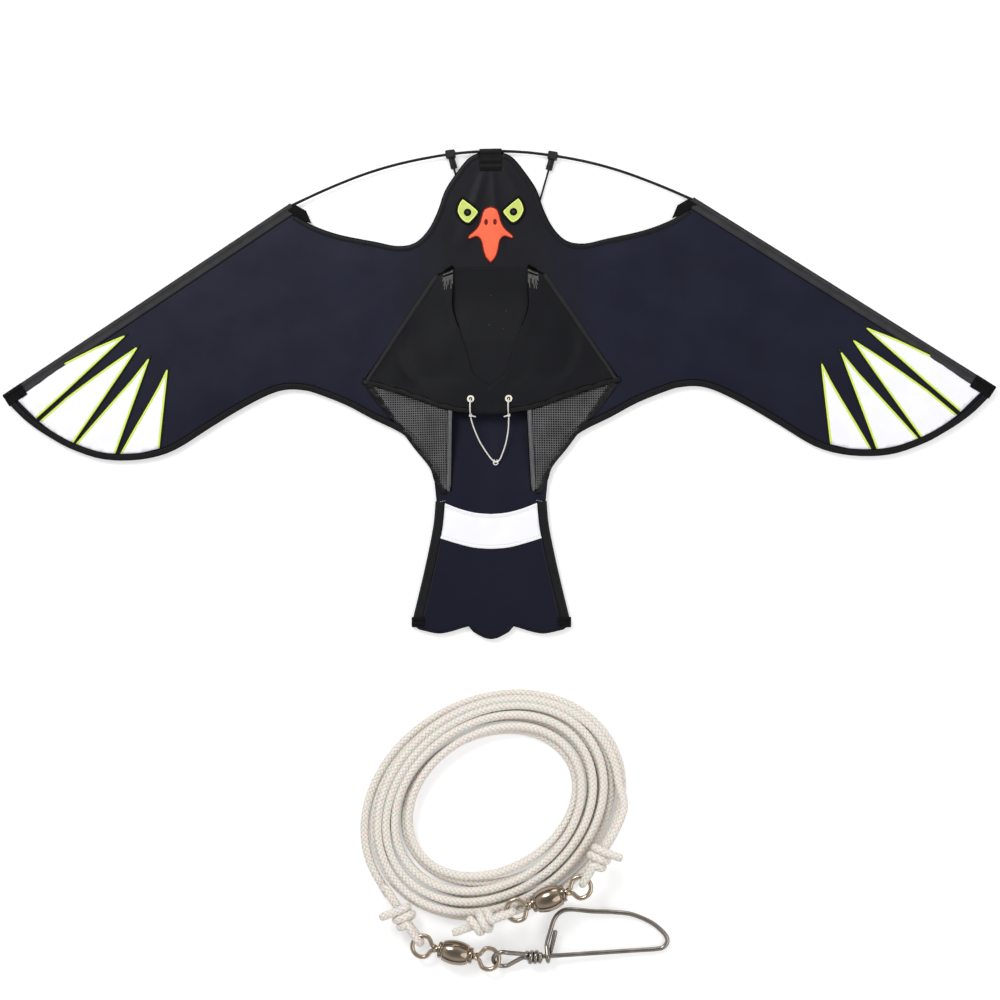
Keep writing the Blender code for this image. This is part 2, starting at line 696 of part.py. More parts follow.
def cloth_grid(name, rows, look, thickness, mirrored=False):
    """Makes a solid cloth from rows of points on its middle surface."""
    width = len(rows[0])
    points = [p for row in rows for p in row]
    faces = []
    for i in range(len(rows) - 1):
        for j in range(width - 1):
            faces.append((i * width + j, i * width + j + 1, (i + 1) * width + j + 1,
                          (i + 1) * width + j))
    data = bpy.data.meshes.new(name)
    data.from_pydata([tuple(p) for p in points], [], faces)
    obj = finish(bpy.data.objects.new(name, data), look)
    if mirrored:
        mirror = obj.modifiers.new("mirror", "MIRROR")
        mirror.merge_threshold = 1e-5
    shell = obj.modifiers.new("thickness", "SOLIDIFY")
    shell.thickness = thickness
    shell.offset = 0.0
    return as_mesh(obj)


def keel():
    """Makes the keel with its eyelets, mesh sides, strips and throat tabs."""
    flap = cloth_grid("keel", keel_grid(), KEEL_CLOTH, TAPE, mirrored=True)
    for side, word in ((-1, "left"), (1, "right")):
        place = plan([EYELET_PX], side)[0]
        place.z = KEEL_HEIGHT
        frame = Matrix.Translation(place)
        radius = EYELET_HOLE + EYELET_WALL + GAP
        combine(flap, cylinder("hole", radius, OVERRUN, frame, collection=cutters), "DIFFERENCE")
        near = TAPE / 2 + GAP
        far = near + EYELET_WALL
        barrel = EYELET_HOLE + EYELET_WALL
        profile = [(EYELET_HOLE, far), (EYELET_RADIUS, far), (EYELET_RADIUS, near), (barrel, near),
                   (barrel, -near), (EYELET_RADIUS, -near), (EYELET_RADIUS, -far),
                   (EYELET_HOLE, -far)]
        round_off(turned("eyelet_" + word, profile, NICKEL, 16, frame))
        strip_and_mesh(side, word)
        throat_tab(side, word)


def strip_and_mesh(side, word):
    """Makes the light strip and the mesh side that close the air pocket's flank."""
    half = STRIP_WIDTH / 2
    top = STRIP_TOP_PX[0]
    inner_edge, outer_edge = [], []
    steps = 8
    hem_edge = KEEL_HEM_PX[-1][0]
    for n in range(steps + 1):
        share = n / steps
        column = top + (STRIP_END_PX[0] - top) * share
        x = kite_x(column)
        y = kite_y(hem_row(column)) - GAP
        y += (kite_y(STRIP_END_PX[1]) - y) * share
        fall = cos(pi / 2 * share) ** 2
        z = KEEL_BASE + KEEL_RISE * crown_share(top, hem_edge) * fall
        inner_edge.append(Vector((side * (x - half), y, z)))
        outer_edge.append(Vector((side * (x + half), y, z)))
    slant = kite_y(hem_row(top + 2)) - kite_y(hem_row(top - 2))
    inner_edge[0].y -= abs(slant) / 2
    cloth_grid("strip_" + word, [inner_edge, outer_edge], STRIP_CLOTH, CLOTH)

    rows = []
    count = len(MESH_OUTER_PX)
    columns = 7
    for n, (column, line) in enumerate(MESH_OUTER_PX):
        share = n / (count - 1)
        start = outer_edge[round(share * steps)] if n else outer_edge[0]
        first = abs(start.x) + GAP
        row = []
        for k in range(columns):
            across = k / (columns - 1)
            x = first + (kite_x(column) - first) * across
            if n:
                y = start.y + (kite_y(line) - start.y) * across
                z = KEEL_BASE + (start.z - KEEL_BASE) * cos(pi / 2 * across) ** 2
            else:
                place = x / WING_SPAN * SPAN_PX
                y = kite_y(hem_row(place)) - 2 * GAP
                z = KEEL_BASE + KEEL_RISE * crown_share(place, hem_edge)
            row.append(Vector((side * x, y, z)))
        rows.append(row)
    cloth_grid("mesh_" + word, rows, MESH_CLOTH, CLOTH)


def throat_tab(side, word):
    """Makes the light tape tab on the keel's throat corner."""
    rows = keel_grid()
    lift = Vector((0.0, 0.0, TAPE / 2 + 2 * GAP + CLOTH / 2))
    found = []
    for along in THROAT_TAB_ROW_SHARES:
        row = []
        for across in THROAT_TAB_ACROSS_SHARES:
            a = rows[0][0].lerp(rows[0][-1], across)
            b = rows[1][0].lerp(rows[1][-1], across)
            k = across * (len(rows[0]) - 1)
            i = min(int(k), len(rows[0]) - 2)
            a.z = rows[0][i].lerp(rows[0][i + 1], k - i).z
            b.z = rows[1][i].lerp(rows[1][i + 1], k - i).z
            p = a.lerp(b, along) + lift
            row.append(Vector((side * p.x, p.y, p.z)))
        found.append(row)
    cloth_grid("keel_tape_" + word, found, STRIP_CLOTH, CLOTH)


def bridle():
    """Makes the ties through the eyelets, the cord between them and its loop."""
    knots = {}
    for side, word in ((-1, "left"), (1, "right")):
        place = plan([EYELET_PX], side)[0]
        centre = Vector((place.x, place.y - TIE_RADIUS, KEEL_HEIGHT))
        ring = [Vector((0.0, TIE_RADIUS * cos(2 * pi * n / 20), TIE_RADIUS * sin(2 * pi * n / 20)))
                for n in range(20)]
        tie = tube("bridle_tie_" + word, ring, BRIDLE_RADIUS, CREAM, 2, cyclic=True)
        tie.matrix_world = Matrix.Translation(centre)
        tie = as_mesh(tie)
        knot = Vector((centre.x, centre.y - TIE_RADIUS - BRIDLE_RADIUS, centre.z))
        combine(tie, ball("knot", TIE_KNOT_RADIUS, knot), "UNION")
        tail = [knot, knot + Vector((-side * TIE_TAIL, -TIE_TAIL / 4, -TIE_TAIL / 4))]
        combine(tie, as_mesh(tube("tail", tail, BRIDLE_RADIUS, CREAM)), "UNION")
        round_off(tie)
        knots[side] = knot
    low = SAIL_TOP + GAP + LOOP_RING_RADIUS + LOOP_WIRE_RADIUS
    route = []
    for column, line in BRIDLE_PX:
        route.append(Vector((kite_x(column), kite_y(line), 0.0)))
    drop = Vector((0.0, TIE_KNOT_RADIUS + GAP, 0.0))
    route[0] = knots[-1] - drop
    route[-1] = knots[1] - drop
    bottom = min(p.y for p in route)
    top = route[0].y
    for p in route:
        share = (p.y - bottom) / (top - bottom)
        p.z = low + (KEEL_HEIGHT - low) * share
    path = even(smooth(route, 6), BRIDLE_RADIUS * 5)
    round_off(tube("bridle_cord", path, BRIDLE_RADIUS, CREAM))

    lowest = min(range(len(path)), key=lambda n: path[n].y)
    place = path[lowest]
    along = path[lowest + 1] - path[lowest - 1]
    frame = facing(place, along)
    ring = [Vector((LOOP_RING_RADIUS * cos(2 * pi * n / 14), LOOP_RING_RADIUS * sin(2 * pi * n / 14),
                    0.0)) for n in range(14)]
    loop = tube("bridle_loop", ring, LOOP_WIRE_RADIUS, CREAM, 2, cyclic=True)
    loop.matrix_world = frame
    loop = as_mesh(loop)
    knot = place + Vector((0.0, -LOOP_RING_RADIUS - LOOP_WIRE_RADIUS, 0.0))
    combine(loop, ball("knot", 2 * LOOP_WIRE_RADIUS, knot), "UNION")
    for side in (-1, 1):
        tail = [knot, knot + Vector((side * LOOP_TAIL / 2, -LOOP_TAIL, 0.0))]
        combine(loop, as_mesh(tube("tail", tail, LOOP_WIRE_RADIUS, CREAM)), "UNION")
    round_off(loop)


def ball(name, radius, place):
    """Makes a round lump, for a knot."""
    data = bpy.data.meshes.new(name)
    work = bmesh.new()
    bmesh.ops.create_uvsphere(work, u_segments=10, v_segments=6, radius=radius)
    work.to_mesh(data)
    work.free()
    obj = finish(bpy.data.objects.new(name, data), CREAM)
    obj.matrix_world = Matrix.Translation(place)
    return obj


def coil_point(turns):
    """Returns the cord's place after that many turns, clockwise from the start."""
    angle = COIL_START - 2 * pi * turns - COIL_TILT
    after = turns - COIL_LAYER_TURNS
    if after <= 0:
        inward, climb = turns / COIL_LAYER_TURNS, 0.0
    elif after <= 0.5:
        inward, climb = 1.0, after / 0.5
    else:
        inward, climb = 1.0 - (after - 0.5) / COIL_LAYER_TURNS, 1.0
    inward = max(0.0, inward)
    loose = max(0.0, min(1.0, 2.0 - 2.0 * abs(after - 0.25)))
    spread = COIL_INNER_SPREAD * (1.0 - loose)
    outer = oval(COIL_MIDDLE_PX, COIL_LONG_RADIUS, COIL_SHORT_RADIUS, angle)
    inner = oval(COIL_INNER_MIDDLE_PX, COIL_INNER_LONG_RADIUS + spread,
                 COIL_INNER_SHORT_RADIUS + spread, angle)
    place = outer.lerp(inner, inward)
    place.z = LINE_RADIUS + climb * LINE_PITCH
    return place


def oval(middle, long_radius, short_radius, angle):
    """Returns a point of the coil's tilted oval."""
    spot = Vector((long_radius * cos(angle), short_radius * sin(angle), 0.0))
    spot.rotate(Euler((0.0, 0.0, COIL_TILT)))
    return spot + Vector((kite_x(middle[0]), kite_y(middle[1]), 0.0))


def knot_points(lead, tail):
    """Returns a tied cord's points: X toward the eye's wire, which is at zero."""
    round_wire = WIRE_RADIUS + LINE_RADIUS + GAP
    back = -(KNOT_DIP + KNOT_TURNS * LINE_PITCH)
    points = [Vector((back - lead, 0.0, 0.0)), Vector((back - lead / 2, 0.0, 0.0))]
    for n in range(KNOT_TURNS * 2):
        points.append(Vector((back + KNOT_TURNS * LINE_PITCH * n / (KNOT_TURNS * 2), 0.0, 0.0)))
    points.append(Vector((-KNOT_DIP, 0.0, 0.0)))
    points.append(Vector((-KNOT_DIP / 2, 0.0, -round_wire * 0.6)))
    for n in range(9):
        angle = pi * n / 8
        points.append(Vector((round_wire * sin(angle), 0.0, -round_wire * cos(angle))))
    points.append(Vector((-KNOT_DIP / 2, 0.0, (round_wire + LINE_PITCH) / 2)))
    steps = 12
    for n in range(KNOT_TURNS * steps + 1):
        angle = 2 * pi * n / steps
        points.append(Vector((-KNOT_DIP - LINE_PITCH * n / steps, LINE_PITCH * sin(angle),
                              LINE_PITCH * cos(angle))))
    end = points[-1]
    points.append(end + Vector((-LINE_RADIUS / 2, tail / 2, 0.0)))
    points.append(end + Vector((-LINE_RADIUS, tail, -LINE_RADIUS / 2)))
    return points


def knot(name, contact, heading, lead, tail=KNOT_TAIL, mirrored=False):
    """Ties the cord round an eye's wire and returns where its standing part ends."""
    frame = Matrix.Translation(contact) @ Matrix.Rotation(heading, 4, "Z")
    points = knot_points(lead, tail)
    if mirrored:
        points = [Vector((p.x, -p.y, p.z)) for p in points]
    cord = tube(name, points, LINE_RADIUS, NYLON, 1)
    cord.matrix_world = frame
    round_off(cord)
    along = Vector((cos(heading), sin(heading), 0.0))
    return frame @ points[0], along


def swivel(number, middle, turn):
    """Makes a barrel swivel with two wire eyes and returns its frame."""
    frame = Matrix.Translation(middle) @ Matrix.Rotation(turn, 4, "Z")
    lay = frame @ Matrix.Rotation(pi / 2, 4, "Y")
    half = BARREL_LENGTH / 2
    shoulder = half - COLLAR_LENGTH
    stem = WIRE_RADIUS * 1.25
    bore = stem + GAP
    outer = [(COLLAR_RADIUS, half), (COLLAR_RADIUS, shoulder),
             (BARREL_RADIUS * 0.86, shoulder * 0.86), (BARREL_RADIUS * 0.97, shoulder * 0.5)]
    chamber = BARREL_RADIUS - BARREL_WALL
    inner = [(bore, half), (bore, shoulder), (COLLAR_RADIUS - BARREL_WALL, shoulder),
             (chamber * 0.94, shoulder * 0.5)]
    profile = outer + [(BARREL_RADIUS, 0.0)] + [(r, -z) for r, z in reversed(outer)]
    profile += [(r, -z) for r, z in inner] + [(chamber, 0.0)] + list(reversed(inner))
    round_off(turned("swivel_" + number + "_barrel", profile, NICKEL, 14, lay), 30)
    for side, word in ((-1, "left"), (1, "right")):
        bend = EYE_WIDTH / 2 - WIRE_RADIUS
        centre = half + EYE_LENGTH - WIRE_RADIUS - bend
        neck = half + 2 * WIRE_RADIUS
        ring = [Vector((side * neck, 0.0, 0.0))]
        for n in range(15):
            angle = radians(-118) + radians(236) * n / 14
            ring.append(Vector((side * (centre + bend * cos(angle)), bend * sin(angle), 0.0)))
        eye = tube("swivel_" + number + "_eye_" + word, ring, WIRE_RADIUS, NICKEL, 2, cyclic=True)
        eye.matrix_world = frame
        eye = as_mesh(eye)
        back = shoulder - GAP - WIRE_RADIUS
        rod = cylinder("stem", stem, neck + WIRE_RADIUS - back,
                       lay @ Matrix.Translation((0.0, 0.0, side * (neck + WIRE_RADIUS + back) / 2)),
                       NICKEL, 12)
        combine(eye, rod, "UNION")
        head = cylinder("head", COLLAR_RADIUS - BARREL_WALL - GAP, WIRE_RADIUS,
                        lay @ Matrix.Translation((0.0, 0.0, side * (back + WIRE_RADIUS / 2))),
                        NICKEL, 12)
        combine(eye, head, "UNION")
        round_off(eye)
    return frame


def eye_contact(frame, side, heading):
    """Returns the place on an eye's wire that faces a heading."""
    bend = EYE_WIDTH / 2 - WIRE_RADIUS
    centre = BARREL_LENGTH / 2 + EYE_LENGTH - WIRE_RADIUS - bend
    place = frame @ Vector((side * centre, 0.0, 0.0))
    return place + Vector((cos(heading), sin(heading), 0.0)) * bend


def line_set():
    """Makes the coil of cord, its knots, the two swivels and the snap."""
    lift = 2 * LINE_RADIUS + LINE_PITCH + GAP + BARREL_RADIUS
    x, y = SWIVEL_1_PX
    first = swivel("1", Vector((kite_x(x), kite_y(y), lift)), SWIVEL_1_TURN)
    x, y = SWIVEL_2_PX
    low = BARREL_RADIUS + GAP
    second = swivel("2", Vector((kite_x(x), kite_y(y), low)), SWIVEL_2_TURN)

    contact = eye_contact(second, -1, KNOT_2_HEADING)
    start, start_along = knot("line_knot_2", contact, KNOT_2_HEADING + pi, KNOT_LEAD, mirrored=True)
    contact = eye_contact(first, 1, KNOT_1_HEADING)
    end, end_along = knot("line_knot_1", contact, KNOT_1_HEADING + pi, KNOT_LEAD)
    contact = eye_contact(first, -1, SWIVEL_1_TURN + pi)
    knot("line_knot_end", contact, SWIVEL_1_TURN, FREE_END, tail=KNOT_TAIL / 2)

    turns = 2 * COIL_LAYER_TURNS - 0.5 + COIL_EXTRA_TURNS
    count = round(turns * COIL_POINTS_A_TURN)
    wound = [coil_point(turns * n / count) for n in range(count + 1)]
    straight = 2 * LINE_RADIUS
    lead = start - start_along * GAP
    before = [lead, lead - start_along * straight]
    bend = coil_point(0.0) - (coil_point(0.02) - coil_point(0.0)).normalized() * COIL_LEAD
    into = smooth([before[1] - start_along * straight, bend, wound[0], wound[1]], 4)[:-4]
    after = [end - end_along * (GAP + straight), end - end_along * GAP]
    rise = smooth([wound[-2], wound[-1], wound[-1].lerp(after[0], 0.5) + COIL_END_SWELL, after[0],
                   after[1]], 5)[5:-5]
    path = before + into[:-1] + wound[:-1] + rise + [after[1]]
    cord = tube("line_coil", path, LINE_RADIUS, NYLON, 1)
    round_off(cord)
    report_gap(path)
    snap(second)


def report_gap(path):
    """Prints the least gap that the coil keeps to itself."""
    least = None
    reach = COIL_POINTS_A_TURN // 3
    for i, a in enumerate(path):
        for j in range(i + reach, len(path) - 1):
            b, c = path[j], path[j + 1]
            span = c - b
            share = max(0.0, min(1.0, (a - b).dot(span) / max(span.length_squared, 1e-12)))
            gap = (a - (b + span * share)).length
            if least is None or gap < least[0]:
                least = (gap, i, j)
    print("least gap of the coil to itself, mm:", round((least[0] - 2 * LINE_RADIUS) * 1000, 3),
          "at", least[1], least[2], "of", len(path))


def snap(second):
    """Makes the snap from one wire: wraps, eye, arm, nose, back and hook."""
    link = second @ Vector((BARREL_LENGTH / 2 + EYE_LENGTH - WIRE_RADIUS - SNAP_LINK, 0.0, 0.0))
    frame = (Matrix.Translation(link) @ Matrix.Rotation(SNAP_TURN, 4, "Z")
             @ Matrix.Rotation(SNAP_PITCH, 4, "Y"))
    wind = 2 * WIRE_RADIUS + LINE_GAP
    first = SNAP_EYE_LENGTH
    points = []
    steps = 10
    total = SNAP_WRAPS * steps
    end = first + wind * SNAP_WRAPS
    for n in range(total + 1):
        angle = SNAP_EYE_TILT + 2 * pi * (n - total) / steps
        points.append(Vector((end - wind * n / steps, wind * cos(angle), wind * sin(angle))))
    across = Vector((0.0, cos(SNAP_EYE_TILT), sin(SNAP_EYE_TILT)))
    half = SNAP_EYE_WIDTH / 2 - WIRE_RADIUS
    for n in range(13):
        angle = radians(62) + radians(236) * n / 12
        points.append(Vector((half + half * cos(angle), 0.0, 0.0)) + across * half * sin(angle))
    points.append(Vector((first - wind, 0.0, 0.0)))
    points.append(Vector((first, 0.0, 0.0)))
    points.append(Vector((end, 0.0, 0.0)))
    shape = [Vector((x * SNAP_LENGTH, y * SNAP_HEIGHT, 0.0)) for x, y in SNAP_SHARES]
    shape = [Vector((end + wind, 0.0, 0.0))] + shape
    points += even(smooth(shape, 6), 2.6 * WIRE_RADIUS)
    foot = points[-1]
    points.append(Vector((foot.x, wind * 0.75, wind * 0.75)))
    points.append(Vector((foot.x, 0.0, wind * 1.06)))
    points.append(Vector((foot.x, -wind * 0.75, wind * 0.75)))
    points.append(Vector((foot.x, -wind * 1.06, 0.0)))
    points.append(Vector((foot.x, -wind * 0.75, -wind * 0.75)))
    wire = tube("snap", points, WIRE_RADIUS, NICKEL, 2)
    wire.matrix_world = frame
    round_off(wire)


def main():
    """Builds the whole kite and its line set."""
    clear_scene()
    rods()
    sail()
    sleeves()
    patches()
    keel()
    bridle()
    line_set()


if __name__ == "__main__":
    main()
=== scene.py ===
"""Dresses the bird scarer kite and its line set: cloth, cords and metal.

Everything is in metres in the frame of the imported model: the kite lies on
its back on the floor, belly up, head toward +Y. Places on the cloth are
written in picture units and turned into metres by the Plan class.
"""
from __future__ import annotations

import logging
from dataclasses import dataclass, field
from enum import Enum
from math import atan2, cos, exp, pi, radians, sin, sqrt
from typing import Callable, Iterable, Sequence

import bmesh
import bpy
import numpy as np
from mathutils import Euler, Matrix, Vector
from mathutils.geometry import delaunay_2d_cdt


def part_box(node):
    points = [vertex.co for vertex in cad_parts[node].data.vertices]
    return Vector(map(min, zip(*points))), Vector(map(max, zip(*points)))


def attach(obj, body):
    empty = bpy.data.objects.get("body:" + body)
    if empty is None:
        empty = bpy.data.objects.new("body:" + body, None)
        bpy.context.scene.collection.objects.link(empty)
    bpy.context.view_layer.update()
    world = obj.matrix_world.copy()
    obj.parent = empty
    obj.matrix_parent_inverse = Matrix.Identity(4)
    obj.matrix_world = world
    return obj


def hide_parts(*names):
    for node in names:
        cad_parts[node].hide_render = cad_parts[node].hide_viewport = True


LOG = logging.getLogger("kite")
Colour = tuple[float, float, float]
Pair = tuple[float, float]
Line = Sequence[Vector]
Object = bpy.types.Object
Socket = bpy.types.NodeSocket
Section = Callable[[float, int], Sequence[Pair]]

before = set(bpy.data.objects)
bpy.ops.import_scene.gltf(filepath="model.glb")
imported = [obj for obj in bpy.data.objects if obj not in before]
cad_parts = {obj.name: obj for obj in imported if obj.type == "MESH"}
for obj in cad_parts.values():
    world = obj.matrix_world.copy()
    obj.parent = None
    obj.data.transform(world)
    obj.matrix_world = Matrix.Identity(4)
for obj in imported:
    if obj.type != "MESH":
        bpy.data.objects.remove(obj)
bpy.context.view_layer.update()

GAP = 0.0003
CLOTH = 0.0005
TAPE = 0.0006
SAIL_HEIGHT = 0.0067
SAIL_TOP = SAIL_HEIGHT + CLOTH / 2
KEEL_RISE = 0.0143
KEEL_BASE = SAIL_TOP + GAP + TAPE / 2
KEEL_HEIGHT = KEEL_BASE + KEEL_RISE
SPAR_RADIUS = 0.00175
LINE_RADIUS = 0.0047
LINE_PITCH = 2 * LINE_RADIUS + 0.0005
WIRE_RADIUS = 0.0024
UP = Vector((0.0, 0.0, 1.0))
SIDES = ((-1, "left"), (1, "right"))
EVEN = (1.0, 1.0, 1.0)


class Body(Enum):
    """Bodies that pieces of this scene ride on."""

    KITE = "kite"
    BRIDLE = "bridle"
    LINE = "line_set"
    TURN_1 = "swivel_1_turning"
    TURN_2 = "swivel_2_turning"
    FREE_EYE = "swivel_2_free_eye"
    SNAP = "snap_link"


@dataclass(frozen=True)
class Plan:
    """Turns places of the picture into metres on the kite."""

    half_span: float = 0.600
    length: float = 0.590
    half_span_px: float = 496.3
    length_px: float = 488.0
    middle_px: float = 394.33

    def x(self, column: float) -> float:
        """Returns metres for a distance from the middle line in picture units."""
        return column / self.half_span_px * self.half_span

    def y(self, row: float) -> float:
        """Returns metres for a picture row."""
        return (self.middle_px - row) / self.length_px * self.length

    def point(self, place: Pair, side: int = 1) -> Vector:
        """Returns a level point for a distance from the middle line and a row.

        Args:
            place: the distance and the row, in picture units.
            side: 1 for the right half, -1 for the left half.

        Returns:
            The point in metres, at height zero.
        """
        return Vector((side * self.x(place[0]), self.y(place[1]), 0.0))

    def line(self, places: Sequence[Pair], side: int = 1) -> list[Vector]:
        """Returns a list of level points."""
        return [self.point(place, side) for place in places]


PLAN = Plan()


def flat(x: float, y: float, z: float = 0.0) -> Vector:
    """Returns a vector, level unless a height is given."""
    return Vector((x, y, z))


def circle(sides: int) -> list[Pair]:
    """Returns the points of the unit circle."""
    return [(cos(2 * pi * n / sides), sin(2 * pi * n / sides)) for n in range(sides)]


def ramp(value: np.ndarray, width: float) -> np.ndarray:
    """Returns a value over a width, kept from 0 to 1."""
    return np.clip(value / width, 0, 1)


def run_length(points: Line) -> float:
    """Returns how long a line is."""
    return sum((b - a).length for a, b in zip(points, points[1:]))


def smooth(points: Line, steps: int) -> list[Vector]:
    """Reads a smooth curve through points.

    Args:
        points: the points that the curve passes.
        steps: how many steps each span gets.

    Returns:
        The points of the curve, the last one included.
    """
    found = []
    last = len(points) - 1
    for i in range(last):
        before, after = points[max(i - 1, 0)], points[min(i + 2, last)]
        a, b = points[i], points[i + 1]
        for n in range(steps):
            t = n / steps
            found.append(0.5 * ((2 * a) + (b - before) * t
                                + (2 * before - 5 * a + 4 * b - after) * t * t
                                + (3 * a - before - 3 * b + after) * t * t * t))
    return found + [points[last].copy()]


def even(points: Line, step: float) -> list[Vector]:
    """Reads points at even steps along a line of close points.

    Args:
        points: the line.
        step: the wanted distance, which is rounded to fit.

    Returns:
        The evenly spaced points, both ends included.
    """
    sizes = [(b - a).length for a, b in zip(points, points[1:])]
    total = sum(sizes)
    count = max(2, round(total / step))
    found = [points[0].copy()]
    done, i = 0.0, 0
    for n in range(1, count):
        want = total * n / count
        while i < len(sizes) - 1 and done + sizes[i] < want:
            done += sizes[i]
            i += 1
        found.append(points[i].lerp(points[i + 1], (want - done) / max(sizes[i], 1e-9)))
    return found + [points[-1].copy()]


def link(name: str, data: bpy.types.ID) -> Object:
    """Links a new object for some data and returns it."""
    obj = bpy.data.objects.new(name, data)
    bpy.context.scene.collection.objects.link(obj)
    return obj


def mesh_piece(name: str, points: Line, faces: Iterable[Sequence[int]],
               recalc: bool = True) -> Object:
    """Makes a smooth shaded mesh piece.

    Args:
        name: the piece's name.
        points: its points.
        faces: its faces.
        recalc: whether the faces are turned to point out, or else up.

    Returns:
        The linked object.
    """
    data = bpy.data.meshes.new(name)
    data.from_pydata([tuple(p) for p in points], [], [tuple(f) for f in faces])
    work = bmesh.new()
    work.from_mesh(data)
    if recalc:
        bmesh.ops.recalc_face_normals(work, faces=work.faces)
    for face in () if recalc else work.faces:
        if face.normal.z < 0:
            face.normal_flip()
    work.to_mesh(data)
    work.free()
    data.shade_smooth()
    return link(name, data)


def thicken(obj: Object, thick: float) -> Object:
    """Gives a sheet its thickness on both sides and returns it as a plain mesh."""
    shell = obj.modifiers.new("thickness", "SOLIDIFY")
    shell.thickness = thick
    shell.offset = 0.0
    return apply_modifiers(obj)


def apply_modifiers(obj: Object) -> Object:
    """Turns an object with modifiers into a plain mesh object."""
    bpy.context.view_layer.update()
    deps = bpy.context.evaluated_depsgraph_get()
    data = bpy.data.meshes.new_from_object(obj.evaluated_get(deps))
    name, old = obj.name, obj.data
    bpy.data.objects.remove(obj)
    bpy.data.meshes.remove(old)
    data.name = name
    return link(name, data)


def join(name: str, objs: Sequence[Object]) -> Object:
    """Joins mesh objects that share a finish into one object."""
    work = bmesh.new()
    for obj in objs:
        work.from_mesh(obj.data)
        bpy.data.objects.remove(obj)
    data = bpy.data.meshes.new(name)
    work.to_mesh(data)
    work.free()
    data.shade_smooth()
    return link(name, data)


@dataclass
class Tree:
    """Builds a node tree: each node is added with its sockets set or linked."""

    tree: bpy.types.NodeTree

    def put(self, socket: Socket, value: object) -> None:
        """Links a socket to another socket, or sets its value."""
        if isinstance(value, Socket):
            self.tree.links.new(value, socket)
        else:
            socket.default_value = value

    def add(self, kind: str, sockets: dict | None = None, **values: object) -> bpy.types.Node:
        """Adds a node.

        Args:
            kind: the node's type.
            sockets: input names or numbers, each with a value or a socket.
            values: the node's plain properties.

        Returns:
            The node.
        """
        node = self.tree.nodes.new(kind)
        for key, value in values.items():
            setattr(node, key, value)
        for key, value in (sockets or {}).items():
            self.put(node.inputs[key], value)
        return node

    def math(self, operation: str, *inputs: object) -> Socket:
        """Adds a Math node for sockets or numbers and returns its output."""
        node = self.add("ShaderNodeMath", dict(enumerate(inputs)), operation=operation)
        return node.outputs[0]

    def share(self, value: Socket) -> Socket:
        """Keeps a value from 0 to 1."""
        return self.math("MINIMUM", self.math("MAXIMUM", value, 0.0), 1.0)

    def split(self, vector: Socket) -> Sequence[Socket]:
        """Returns a vector's parts."""
        return self.add("ShaderNodeSeparateXYZ", {0: vector}).outputs

    def sockets(self, way: str, kinds: dict) -> None:
        """Adds the tree's own inputs or outputs, by name, with kind and value."""
        for name, (kind, value) in kinds.items():
            socket = self.tree.interface.new_socket(name, in_out=way,
                                                    socket_type="NodeSocket" + kind)
            if value is not None:
                socket.default_value = value


class Paint(Tree):
    """Builds one material's node tree."""

    def __init__(self, name: str) -> None:
        """Starts a material of that name."""
        self.material = bpy.data.materials.new(name)
        self.material.use_nodes = True
        super().__init__(self.material.node_tree)
        self.shader = self.tree.nodes["Principled BSDF"]

    def set(self, **values: object) -> bpy.types.Material:
        """Sets or links the shader's sockets, by name with underscores."""
        for key, value in values.items():
            self.put(self.shader.inputs[key.replace("_", " ")], value)
        return self.material

    def coords(self, kind: str = "Object") -> Socket:
        """Returns Object or UV coordinates."""
        return self.add("ShaderNodeTexCoord").outputs[kind]

    def noise(self, vector: Socket, scale: float, detail: float = 3.0,
              stretch: Sequence[float] = EVEN, turn: float = 0.0) -> Socket:
        """Adds noise on mapped coordinates and returns its value."""
        mapping = self.add("ShaderNodeMapping", {"Vector": vector, "Scale": stretch,
                                                 "Rotation": (0.0, 0.0, turn)})
        return self.add("ShaderNodeTexNoise", {"Vector": mapping.outputs[0], "Scale": scale,
                                               "Detail": detail}).outputs["Fac"]

    def blend(self, share: Socket, low: Colour, high: Colour, start: float, end: float) -> Socket:
        """Turns a value into a colour between two colours."""
        node = self.add("ShaderNodeValToRGB", {0: share})
        for element, place, colour in zip(node.color_ramp.elements, (start, end), (low, high)):
            element.position, element.color = place, (*colour, 1.0)
        return node.outputs[0]

    def bump(self, height: Socket, distance: float, strength: float, **more: Socket) -> Socket:
        """Adds a Bump node, on a Normal if one is given, and returns its normal."""
        return self.add("ShaderNodeBump", {"Height": height, "Distance": distance,
                                           "Strength": strength, **more}).outputs[0]


def weave_group() -> bpy.types.NodeTree:
    """Returns the shared weave group: threads crossing, as height and tint.

    Returns:
        A shader group with the inputs Vector and Threads and the outputs
        Height and Tint, both from 0 to 1.
    """
    found = bpy.data.node_groups.get("weave")
    if found:
        return found
    group = Tree(bpy.data.node_groups.new("weave", "ShaderNodeTree"))
    group.sockets("INPUT", {"Vector": ("Vector", None), "Threads": ("Float", 2000.0)})
    group.sockets("OUTPUT", {"Height": ("Float", None), "Tint": ("Float", None)})
    source = group.add("NodeGroupInput").outputs
    parts = group.split(source["Vector"])
    waves = [group.math("ABSOLUTE", group.math("SINE", group.math(
        "MULTIPLY", parts[axis], source["Threads"]))) for axis in (0, 1)]
    group.add("NodeGroupOutput", {"Height": group.math("MAXIMUM", *waves),
                                  "Tint": group.math("MULTIPLY", *waves)})
    return group.tree


